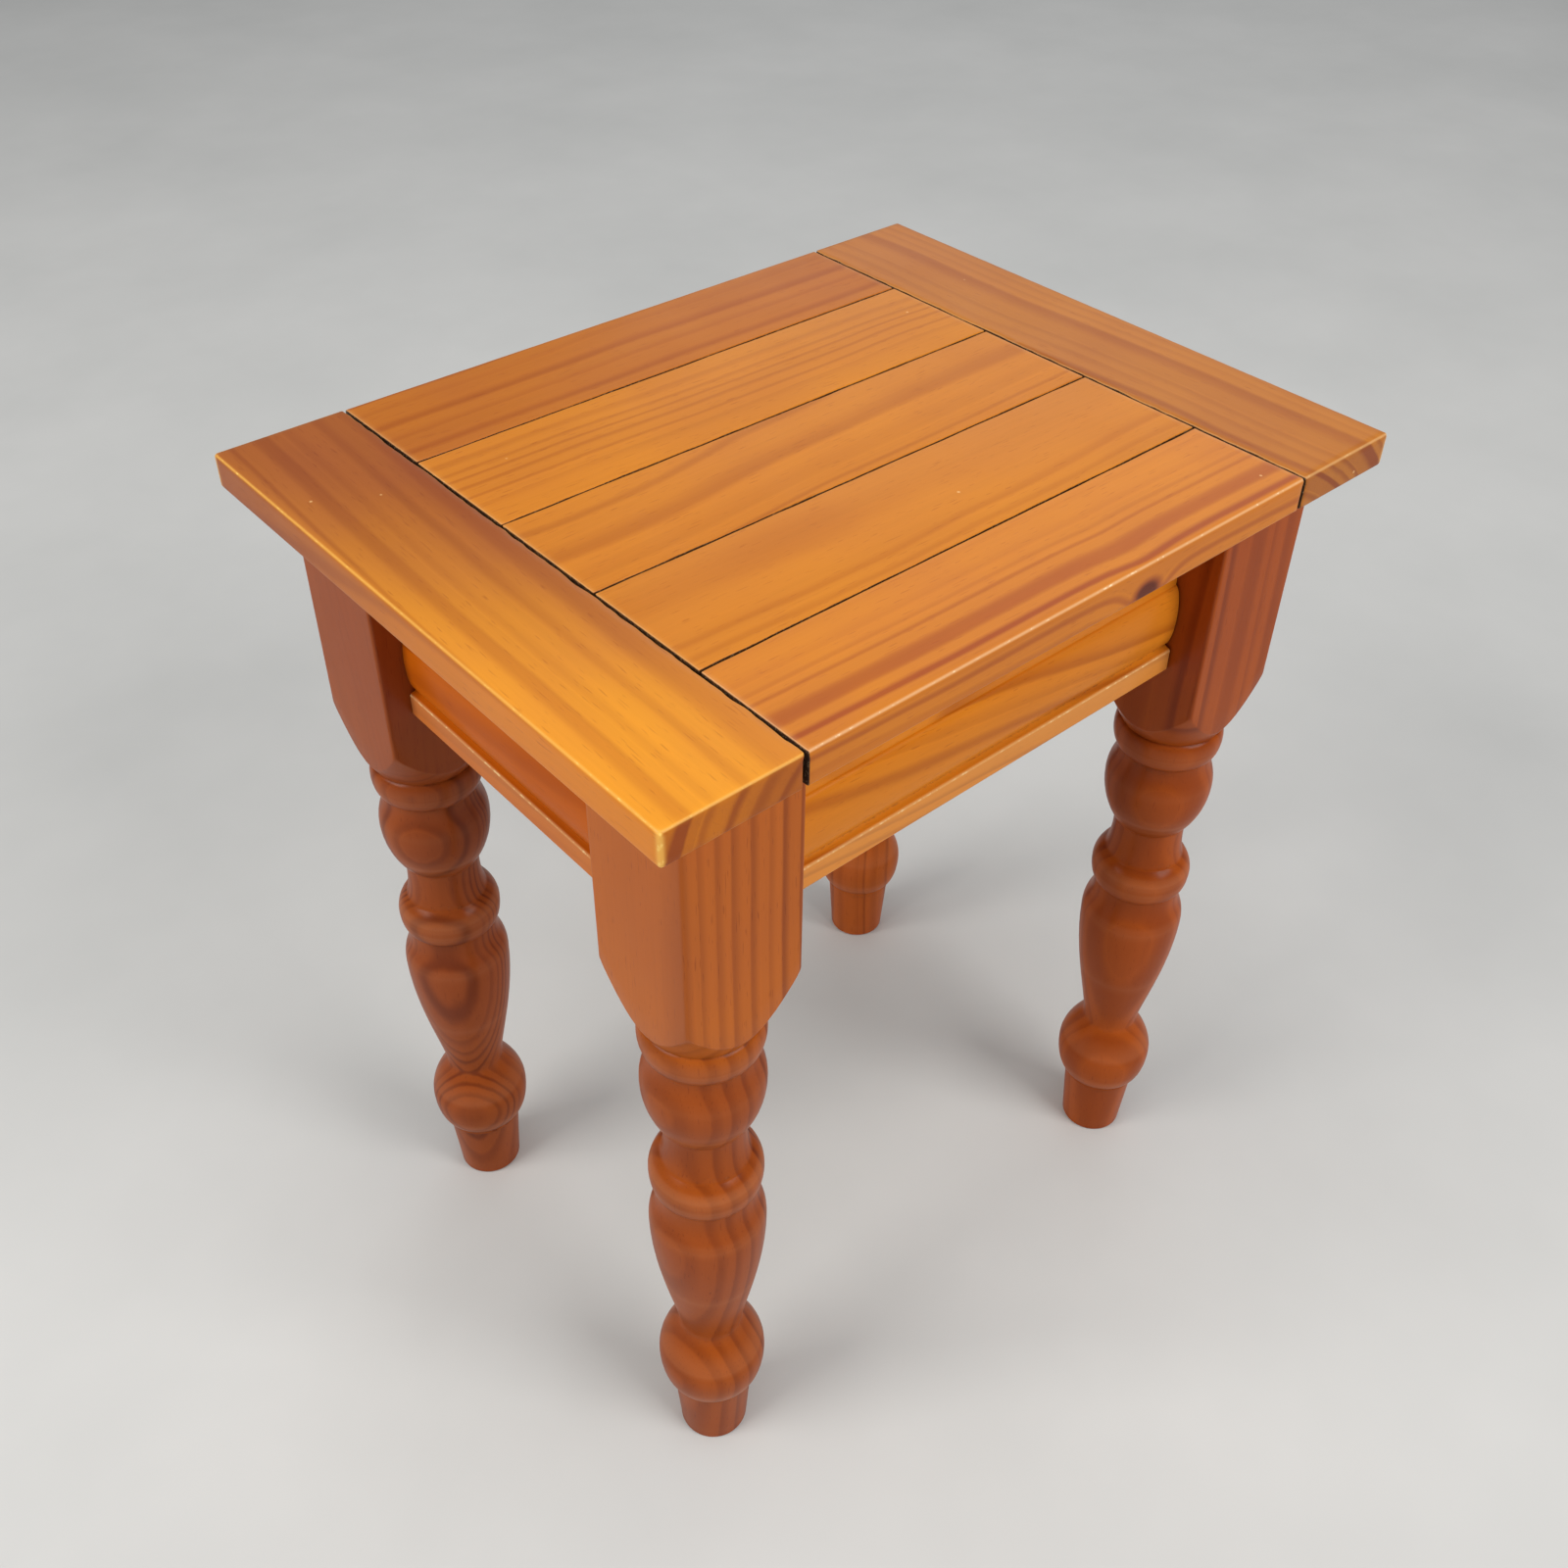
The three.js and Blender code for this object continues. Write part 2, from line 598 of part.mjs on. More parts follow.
function batten({ sign }) {
  const body = toSolid(slab(supportPlan(sign), KICKER_BOTTOM, APRON_TOP));
  return cut(body, holesFor(BATTEN_SCREWS));
}

function runner({ sign }) {
  const body = toSolid(slab(supportPlan(sign), RUNNER_TOP - RUNNER_THICKNESS, RUNNER_TOP));
  return cut(body, holesFor(RUNNER_SCREWS));
}

function guide({ sign }) {
  const [x0, x1] = span(sign, GUIDE_FACE, SHORT_INNER - FIT_GAP);
  const low = RUNNER_TOP + FIT_GAP;
  const reach = LEG_INNER_Y - FIT_GAP;
  const body = toSolid(block([x0, -reach, low], [x1, reach, low + GUIDE_HEIGHT]));
  return cut(body, holesFor(RUNNER_SCREWS));
}

function stop({ sign }) {
  const [x0, x1] = span(sign, BOX_INNER, BOX_HALF);
  const low = RUNNER_TOP + FIT_GAP;
  const front = BOX_BACK + DRAWER_RUNNING_GAP;
  return toSolid(block([x0, front, low], [x1, front + STOP_LENGTH, low + STOP_HEIGHT]));
}

// ---- The drawer box ---------------------------------------------------------------------------

function drawerSide({ sign, outward }) {
  const section = outline([
    [0, BOX_BOTTOM],
    [DRAWER_SIDE_THICKNESS, BOX_BOTTOM],
    [DRAWER_SIDE_THICKNESS, BOX_TOP],
    [0, BOX_TOP],
    [0, PANEL_HIGH + FIT_GAP],
    [GROOVE_DEPTH, PANEL_HIGH + FIT_GAP],
    [GROOVE_DEPTH, PANEL_LOW - FIT_GAP],
    [0, PANEL_LOW - FIT_GAP],
  ]);
  const geometry = run(section, BOX_BACK - BOX_FRONT, outward);
  geometry.translate(sign * BOX_INNER, (BOX_BACK + BOX_FRONT) / 2, 0);
  const [x0, x1] = span(sign, BOX_INNER - 1, BOX_INNER + HOUSING_DEPTH);
  const back = BACK_FACE + FIT_GAP;
  const front = BACK_FACE - DRAWER_SIDE_THICKNESS - FIT_GAP;
  const housing = toSolid(block([x0, front, PANEL_LOW], [x1, back, BOX_TOP + 1]));
  return cut(toSolid(geometry), [housing, ...holesFor(DRAWER_DOWELS)]);
}

function drawerBack() {
  const reach = BOX_INNER + HOUSING_DEPTH - FIT_GAP;
  const low = PANEL_HIGH + FIT_GAP;
  const body = block([-reach, BACK_FACE - DRAWER_SIDE_THICKNESS, low], [reach, BACK_FACE, BOX_TOP]);
  return cut(toSolid(body), holesFor(BOTTOM_NAILS));
}

function drawerBottom() {
  const reach = BOX_INNER + GROOVE_DEPTH - FIT_GAP;
  const front = -LONG_INNER - GROOVE_DEPTH + FIT_GAP;
  const body = block([-reach, front, PANEL_LOW], [reach, BACK_FACE, PANEL_HIGH]);
  return cut(toSolid(body), holesFor(BOTTOM_NAILS));
}

// ---- The table ---------------------------------------------------------------------------------

function piece(name, solid, material) {
  const mesh = new THREE.Mesh(toGeometry(solid), material);
  mesh.name = name;
  return mesh;
}

// One mesh for each fixing in a list, placed and turned where it belongs.
function fixingPieces(places, material) {
  return places.map(({ name, at, along, shape }) => {
    const mesh = piece(name, toSolid(shape(0)), material);
    mesh.position.set(...at);
    mesh.quaternion.setFromUnitVectors(UPWARD, along);
    return mesh;
  });
}

const top = new THREE.Group();
PLANK_WIDTHS.forEach((width, i) => top.add(piece(`top_plank_${i + 1}`, plank(i), TOP_PINE)));
SIDES.forEach((side) => top.add(piece(`breadboard_end_${side.side}`, breadboard(side), TOP_PINE)));
top.add(...fixingPieces(TOP_DOWELS, BEECH));

const base = new THREE.Group();
SIDES.forEach((side) => ENDS.forEach((end) => {
  const mesh = piece(`leg_${end.end}_${side.side}`, leg(side, end), LEG_PINE);
  mesh.position.set(side.sign * LEG_X, end.sign * LEG_Y, 0);
  base.add(mesh);
}));
SIDES.forEach(({ side, outward }) => {
  base.add(piece(`apron_${side}`, apron(outward, SHORT_INNER, 2 * LEG_INNER_Y), APRON_PINE));
});
base.add(piece('apron_back', apron(BACKWARD, LONG_INNER, 2 * LEG_INNER_X), APRON_PINE));
RAILS.forEach((each) => base.add(piece(each.name, rail(each), FRAME_PINE)));
SIDES.forEach((side) => {
  base.add(piece(`top_batten_${side.side}`, batten(side), FRAME_PINE));
  base.add(piece(`drawer_runner_${side.side}`, runner(side), FRAME_PINE));
  base.add(piece(`drawer_guide_${side.side}`, guide(side), FRAME_PINE));
  base.add(piece(`drawer_stop_${side.side}`, stop(side), FRAME_PINE));
});
base.add(...fixingPieces(LEG_DOWELS, BEECH));
base.add(...fixingPieces([...BATTEN_SCREWS, ...RUNNER_SCREWS], STEEL));

const drawer = new THREE.Group();
drawer.add(piece('drawer_front', drawerFront(), APRON_PINE));
SIDES.forEach((side) => drawer.add(piece(`drawer_side_${side.side}`, drawerSide(side), DRAWER_PINE)));
drawer.add(piece('drawer_back', drawerBack(), DRAWER_PINE));
drawer.add(piece('drawer_bottom', drawerBottom(), PLYWOOD));
drawer.add(...fixingPieces(DRAWER_DOWELS, BEECH));
drawer.add(...fixingPieces(BOTTOM_NAILS, STEEL));

const table = new THREE.Group();
table.add(top, base, drawer);
export default table;
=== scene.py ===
"""The looks of a small stained pine side table with one drawer.

Metres, +Z up. The origin is on the floor under the middle of the top, X runs along the planks and
the drawer opens towards -Y. The boards, legs and mouldings are finely shaped pieces that stand for
their plainer solids; the hidden frame, the drawer box and the fixings are the solids themselves.
"""

import math

import bmesh
import bpy
from mathutils import Matrix, Vector, noise

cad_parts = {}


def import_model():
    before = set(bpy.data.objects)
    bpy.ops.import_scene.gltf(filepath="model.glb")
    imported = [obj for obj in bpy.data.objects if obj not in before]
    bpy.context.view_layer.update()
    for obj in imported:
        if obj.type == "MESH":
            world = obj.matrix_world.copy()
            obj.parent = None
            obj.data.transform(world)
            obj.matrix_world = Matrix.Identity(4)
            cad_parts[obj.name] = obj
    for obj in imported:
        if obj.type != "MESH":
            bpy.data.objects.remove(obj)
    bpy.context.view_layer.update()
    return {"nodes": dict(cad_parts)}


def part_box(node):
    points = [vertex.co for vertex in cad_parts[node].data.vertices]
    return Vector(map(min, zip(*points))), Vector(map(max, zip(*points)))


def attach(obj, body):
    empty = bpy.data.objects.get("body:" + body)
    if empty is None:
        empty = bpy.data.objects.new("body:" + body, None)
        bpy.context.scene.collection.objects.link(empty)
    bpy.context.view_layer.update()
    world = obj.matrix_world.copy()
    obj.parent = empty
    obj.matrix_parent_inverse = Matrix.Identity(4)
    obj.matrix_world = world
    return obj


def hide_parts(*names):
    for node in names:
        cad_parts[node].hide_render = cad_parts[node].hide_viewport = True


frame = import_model()

MM = 0.001
HALF_PI = math.pi / 2

SIDES = {"left": -1, "right": 1}
ENDS = {"front": -1, "back": 1}


# ---- Small helpers ----


def clamp(value, low=0.0, high=1.0):
    return max(low, min(high, value))


def fade(distance, reach):
    """One at no distance, falling smoothly to nothing at the reach."""
    share = clamp(1 - abs(distance) / reach)
    return share * share * (3 - 2 * share)


def lerp(a, b, share):
    return a + (b - a) * share


def spaced(low, high, step):
    """Evenly spaced numbers from low to high, about a step apart."""
    count = max(1, round((high - low) / step))
    return [lerp(low, high, i / count) for i in range(count + 1)]


def srgb(red, green, blue):
    """A colour as the eye names it, from 0 to 255, as the linear one that a shader takes."""

    def linear(value):
        share = value / 255
        return share / 12.92 if share <= 0.04045 else ((share + 0.055) / 1.055) ** 2.4

    return (linear(red), linear(green), linear(blue), 1.0)


def link(obj):
    bpy.context.scene.collection.objects.link(obj)
    return obj


def new_object(name, verts, faces):
    mesh = bpy.data.meshes.new(name)
    mesh.from_pydata(verts, [], faces)
    mesh.update()
    return link(bpy.data.objects.new(name, mesh))


def smooth(obj, angle):
    """Smooth shading, with edges sharper than the angle, in degrees, kept sharp."""
    obj.data.shade_smooth()
    obj.data.set_sharp_from_angle(angle=math.radians(angle))


def paint(obj, name, amount):
    """Stores amount(position), from 0 to 1, at each vertex for a material to read."""
    layer = obj.data.attributes.new(name, "FLOAT", "POINT")
    layer.data.foreach_set("value", [clamp(amount(v.co)) for v in obj.data.vertices])


def unevenness(point, size, seed):
    """Slow unevenness from 0 to 1 at a point, with features of about that size."""
    return clamp(0.5 + 0.6 * noise.noise(Vector(point) / size + Vector((seed, -seed, 3.7))))


def paint_wear_dirt_and_light(obj, wear_and_highlight, dirt_and_shade):
    paint(obj, "wear_and_highlight", wear_and_highlight)
    paint(obj, "dirt_and_shade", dirt_and_shade)


def finish_piece(obj, node, body, material):
    """Puts the piece in place of its CAD node."""
    obj.data.materials.clear()
    obj.data.materials.append(material)
    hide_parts(node)
    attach(obj, body)


# ---- Outlines and swept boards ----

ARC_STEPS = 5


def outline(corners, shoulder=0.0):
    """An anticlockwise line through corners (x, y, radius), each rounded by its radius.

    Each rounded corner also gets a point a shoulder's length before and after it, so that rubbing
    and painted highlights on the corner fade out next to it.
    """
    points = []
    for i, (x, y, radius) in enumerate(corners):
        here = Vector((x, y))
        if radius == 0:
            points.append(here)
            continue
        before = Vector(corners[i - 1][:2]) - here
        after = Vector(corners[(i + 1) % len(corners)][:2]) - here
        roomy = min(before.length, after.length) > 2 * (radius + shoulder)
        start = here + before.normalized() * radius
        end = here + after.normalized() * radius
        centre = start + end - here
        if shoulder and roomy:
            points.append(start + before.normalized() * shoulder)
        for k in range(ARC_STEPS + 1):
            turn = HALF_PI * k / ARC_STEPS
            away = (start - centre) * math.cos(turn) + (end - centre) * math.sin(turn)
            points.append(centre + away)
        if shoulder and roomy:
            points.append(end + after.normalized() * shoulder)
    return points


def inward_steps(points):
    """For each point of an anticlockwise line, the step that moves it inward by one unit."""
    steps = []
    for i, here in enumerate(points):
        before = (here - points[i - 1]).normalized()
        after = (points[(i + 1) % len(points)] - here).normalized()
        left = Vector((-before.y, before.x)) + Vector((-after.y, after.x))
        share = max(left.length_squared / 2, 0.5)
        steps.append(left / share)
    return steps


def shrunk(points, margin):
    """The line scaled about its middle so that its box is a margin smaller on each side."""
    low = Vector((min(p.x for p in points), min(p.y for p in points)))
    high = Vector((max(p.x for p in points), max(p.y for p in points)))
    middle, size = (low + high) / 2, high - low
    return [
        Vector([m + (v - m) * (1 - 2 * margin / s) for v, m, s in zip(point, middle, size)])
        for point in points
    ]


def swept(name, points, length, place, end_round=0.8 * MM, step=7 * MM, margin=0.0):
    """A board: an outline swept for a length centred on zero, with softly rounded ends.

    place(along, x, y) gives the position of a point of the outline. A margin, for outlines
    without hollows, adds a line that far inside the edge of each end, so that rubbing and painted
    highlights on the edge fade out there.
    """

    def inset_by(inset):
        if margin:
            return shrunk(points, inset)
        return [p + into * inset for p, into in zip(points, inward_steps(points))]

    half = length / 2
    turns = [HALF_PI * k / 3 for k in range(4)]
    ends = [(end_round * (1 - math.cos(t)), end_round * (1 - math.sin(t))) for t in turns]
    inner = spaced(-half + end_round + 3 * MM, half - end_round - 3 * MM, step)
    stations = [(-half + along, inset) for along, inset in ends]
    stations += [(along, 0) for along in inner]
    stations += [(half - along, inset) for along, inset in reversed(ends)]
    if margin:
        stations = [(-half, end_round + margin), *stations, (half, end_round + margin)]
    rings = [(along, inset_by(inset)) for along, inset in stations]
    verts = [place(along, *point) for along, ring in rings for point in ring]
    count = len(points)
    last = (len(rings) - 1) * count
    faces = [tuple(range(count)), tuple(last + i for i in reversed(range(count)))]
    for s in range(len(rings) - 1):
        for i in range(count):
            j = (i + 1) % count
            low, high = s * count, (s + 1) * count
            faces.append((low + i, high + i, high + j, low + j))
    obj = new_object(name, verts, faces)
    face_outward(obj)
    return obj


def face_outward(obj):
    bm = bmesh.new()
    bm.from_mesh(obj.data)
    bmesh.ops.recalc_face_normals(bm, faces=bm.faces)
    bm.to_mesh(obj.data)
    bm.free()


def soften_edges(obj, wear_and_highlight, centre, depth, seed):
    """Rubs the edges down unevenly where they are marked most, towards the middle of the board."""
    for vertex in obj.data.vertices:
        amount = wear_and_highlight(vertex.co)
        if amount > 0.4:
            into = (centre(vertex.co) - vertex.co).normalized()
            vertex.co += into * depth * amount * unevenness(vertex.co, 9 * MM, seed)


def carve(obj, blocks, operation="DIFFERENCE"):
    """Cuts upright blocks, each (low corner, high corner), out of a piece, or joins them to it."""
    for low, high in blocks:
        corners = [Vector((x, y, z)) for z in (low[2], high[2]) for y in (low[1], high[1])
                   for x in (low[0], high[0])]
        faces = [(0, 2, 3, 1), (4, 5, 7, 6), (0, 1, 5, 4), (2, 6, 7, 3), (0, 4, 6, 2), (1, 3, 7, 5)]
        tool = new_object("tool", corners, faces)
        cutter = obj.modifiers.new("cut", "BOOLEAN")
        cutter.operation = operation
        cutter.solver = "EXACT"
        cutter.object = tool
        bpy.context.view_layer.update()
        evaluated = obj.evaluated_get(bpy.context.evaluated_depsgraph_get())
        shaped = bpy.data.meshes.new_from_object(evaluated)
        obj.modifiers.clear()
        obj.data = shaped
        bpy.data.objects.remove(tool)


# ---- Node trees ----


# The Mix node's inputs for numbers and for colours, which have the same names.
MIX_NUMBER_A, MIX_NUMBER_B, MIX_COLOUR_A, MIX_COLOUR_B = 2, 3, 6, 7


class Nodes:
    """Builds one node tree, one short call for each node."""

    def __init__(self, tree):
        self.tree = tree

    def add(self, kind, inputs=None, **settings):
        """A node. Its inputs are given by name or number, as constants or as other sockets."""
        node = self.tree.nodes.new(kind)
        for name, value in settings.items():
            setattr(node, name, value)
        self.fill(node, inputs or {})
        return node

    def fill(self, node, inputs):
        for name, value in inputs.items():
            self.feed(node.inputs[name], value)

    def feed(self, socket, value):
        if isinstance(value, bpy.types.NodeSocket):
            self.tree.links.new(value, socket)
        elif value is not None:
            socket.default_value = value

    def math(self, operation, a, b=None, c=None):
        return self.add("ShaderNodeMath", {0: a, 1: b, 2: c}, operation=operation).outputs[0]

    def times(self, a, b):
        return self.math("MULTIPLY", a, b)

    def plus(self, a, b):
        return self.math("ADD", a, b)

    def minus(self, a, b):
        return self.math("SUBTRACT", a, b)

    def scaled_plus(self, value, scale, base):
        """value * scale + base"""
        return self.math("MULTIPLY_ADD", value, scale, base)

    def vector(self, operation, a, b=None):
        node = self.add("ShaderNodeVectorMath", {0: a, 1: b}, operation=operation)
        return node.outputs["Value" if operation in ("LENGTH", "DOT_PRODUCT") else "Vector"]

    def combine(self, x, y, z):
        return self.add("ShaderNodeCombineXYZ", {0: x, 1: y, 2: z}).outputs[0]

    def split(self, vector):
        return self.add("ShaderNodeSeparateXYZ", {0: vector}).outputs[:]

    def step(self, value, low, high, to_low=0.0, to_high=1.0):
        """Goes smoothly from to_low to to_high as the value goes from low to high."""
        inputs = {"Value": value, "From Min": low, "From Max": high,
                  "To Min": to_low, "To Max": to_high}
        return self.add("ShaderNodeMapRange", inputs, interpolation_type="SMOOTHSTEP").outputs[0]

    def blend(self, share, a, b, mode="MIX"):
        inputs = {0: share, MIX_COLOUR_A: a, MIX_COLOUR_B: b}
        return self.add("ShaderNodeMix", inputs, data_type="RGBA", blend_type=mode).outputs[2]

    def tinted(self, colour, tint, share=1.0):
        return self.blend(share, colour, tint, "MULTIPLY")

    def noise(self, vector, scale=1.0, detail=2.0, roughness=0.5):
        """Noise from 0 to 1, with most of it near one half."""
        inputs = {"Vector": vector, "Scale": scale, "Detail": detail, "Roughness": roughness}
        return self.add("ShaderNodeTexNoise", inputs, noise_dimensions="3D").outputs["Fac"]

    def swing(self, vector, scale, detail=2.0, roughness=0.5):
        """The same noise about zero."""
        return self.minus(self.noise(vector, scale, detail, roughness), 0.5)

    def noise_along(self, value, scale, detail=1.0):
        inputs = {"W": value, "Scale": scale, "Detail": detail}
        return self.add("ShaderNodeTexNoise", inputs, noise_dimensions="1D").outputs["Fac"]

    def attribute(self, name):
        return self.add("ShaderNodeAttribute", attribute_name=name).outputs["Fac"]


def new_shader(name):
    """A material, its nodes, and the shader on its surface."""
    material = bpy.data.materials.new(name)
    material.use_nodes = True
    material.node_tree.nodes.clear()
    n = Nodes(material.node_tree)
    shader = n.add("ShaderNodeBsdfPrincipled")
    n.add("ShaderNodeOutputMaterial", {"Surface": shader.outputs[0]})
    return material, n, shader


def add_bump(n, shader, height, strength, distance):
    bump = n.add("ShaderNodeBump", {"Strength": strength, "Distance": distance, "Height": height})
    n.feed(shader.inputs["Normal"], bump.outputs[0])


# ---- Pine ----

GRAIN_INPUTS = (
    "Ring",  # one year's growth
    "Strength",  # of the dark late wood
    "Heart",  # radius inside which the wood is red heartwood
    "Far strength",  # the same as Strength, in the outer wood
    "Turn to outer",  # radius where the outer wood begins
    "Wander",  # how far the pith strays
    "Softness",  # of the late wood's outer edge, up to 1
    "Seed",
)


def build_grain():
    """The pattern of pine wood, worked out from Log, the place in the log with X along its pith.

    Late is 0 in pale early wood and 1 in dark late wood, Heart is 1 in heartwood, Fibre is the
    fine streaks about zero, Pores is 1 in the short dark resin canals, and Cloud is slow
    patchiness about zero.
    """
    tree = bpy.data.node_groups.new("pine_grain", "ShaderNodeTree")
    tree.interface.new_socket("Log", in_out="INPUT", socket_type="NodeSocketVector")
    for name in GRAIN_INPUTS:
        tree.interface.new_socket(name, in_out="INPUT", socket_type="NodeSocketFloat")
    for name in ("Late", "Heart", "Fibre", "Pores", "Cloud"):
        tree.interface.new_socket(name, in_out="OUTPUT", socket_type="NodeSocketFloat")
    n = Nodes(tree)
    given = n.add("NodeGroupInput").outputs
    made = n.add("NodeGroupOutput").inputs

    shift = n.combine(given["Seed"], n.times(given["Seed"], 2.3), 0.0)
    place = n.vector("ADD", given["Log"], shift)
    stretched = n.vector("MULTIPLY", place, (0.16, 1.0, 1.0))
    _, across, up = n.split(given["Log"])

    # The pith wanders and the rings are not quite round.
    wander_a = n.swing(n.vector("MULTIPLY", place, (3.0, 1.0, 1.0)), 1.3, 1.0)
    wander_b = n.swing(n.vector("MULTIPLY", place, (4.1, 1.0, 1.0)), 1.9, 1.0)
    lumpy = n.swing(stretched, 26.0)
    ragged = n.swing(stretched, 150.0)
    moved_across = n.plus(across, n.times(wander_a, given["Wander"]))
    moved_up = n.plus(up, n.times(wander_b, given["Wander"]))
    radius = n.vector("LENGTH", n.combine(0.0, moved_across, moved_up))
    radius = n.plus(radius, n.times(lumpy, 3 * MM))
    radius = n.plus(radius, n.times(ragged, 0.8 * MM))

    # Some years are wide and some narrow.
    seasons = n.minus(n.noise_along(n.plus(radius, given["Seed"]), 38.0), 0.5)
    years = n.plus(n.math("DIVIDE", radius, given["Ring"]), n.times(seasons, 2.4))
    year = n.math("FLOOR", years)
    season = n.math("FRACT", years)
    number = n.plus(year, given["Seed"])
    luck = n.add("ShaderNodeTexWhiteNoise", {"W": number}, noise_dimensions="1D").outputs["Value"]
    rise_from = n.scaled_plus(luck, 0.3, 0.2)
    rise_to = n.scaled_plus(given["Softness"], -0.3, 0.94)
    fall_from = n.scaled_plus(given["Softness"], -0.25, 0.955)
    rise = n.step(season, rise_from, rise_to)
    fall = n.step(season, fall_from, 1.0, 1.0, 0.0)
    late = n.times(rise, fall)
    late = n.times(late, n.scaled_plus(luck, 0.6, 0.4))
    late = n.plus(late, n.times(n.times(luck, luck), 0.25))
    turn = given["Turn to outer"]
    outer = n.step(radius, n.times(turn, 0.8), n.times(turn, 1.2))
    inputs = {0: outer, MIX_NUMBER_A: given["Strength"], MIX_NUMBER_B: given["Far strength"]}
    strength = n.add("ShaderNodeMix", inputs, data_type="FLOAT").outputs[0]
    n.feed(made["Late"], n.times(late, strength))

    edge = n.plus(given["Heart"], n.times(lumpy, 14 * MM))
    heart_end = n.plus(edge, 9 * MM)
    n.feed(made["Heart"], n.step(radius, edge, heart_end, 1.0, 0.0))

    fine = n.swing(n.vector("MULTIPLY", place, (14.0, 900.0, 900.0)), 1.0, 3.0, 0.6)
    coarse = n.swing(n.vector("MULTIPLY", place, (5.0, 230.0, 230.0)), 1.0)
    n.feed(made["Fibre"], n.plus(fine, coarse))

    canals = n.noise(n.vector("MULTIPLY", place, (110.0, 1500.0, 1500.0)), 1.0, 0.0)
    n.feed(made["Pores"], n.step(canals, 0.71, 0.8))
    n.feed(made["Cloud"], n.swing(stretched, 17.0, 2.0, 0.6))
    return tree


GRAIN = build_grain()

# Which coordinate lies along the grain, and the order that brings it first.
GRAIN_ORDER = {"X": (0, 1, 2), "Y": (1, 0, 2), "Z": (2, 0, 1)}

# Colour of bare, rubbed wood, also used for the painted highlight along edges, crests and beads.
WORN_AND_HIGHLIGHT_WOOD = srgb(240, 206, 150)
# Colour of grey dirt and painted shade in seams, slots and hollows.
DIRT_AND_SHADE_COLOUR = srgb(44, 36, 29)
DUST = srgb(138, 120, 94)
SPECK = srgb(232, 190, 130)
# Colour of rubbed spots on the legs, also the painted highlight on the crests of their turnings.
LEG_WEAR_AND_HIGHLIGHT = srgb(232, 172, 132)
KNOT_HEART = srgb(86, 24, 2)
KNOT_RIM = srgb(146, 64, 24)
SPECK_SCALE = 34  # cells in a metre, of which some hold a speck
GOLDEN_STAIN = (1.03, 1.0, 0.86, 1)
RUSSET_STAIN = (0.97, 0.92, 1.04, 1)
END_GRAIN_STAIN = (0.72, 0.66, 0.62, 1)


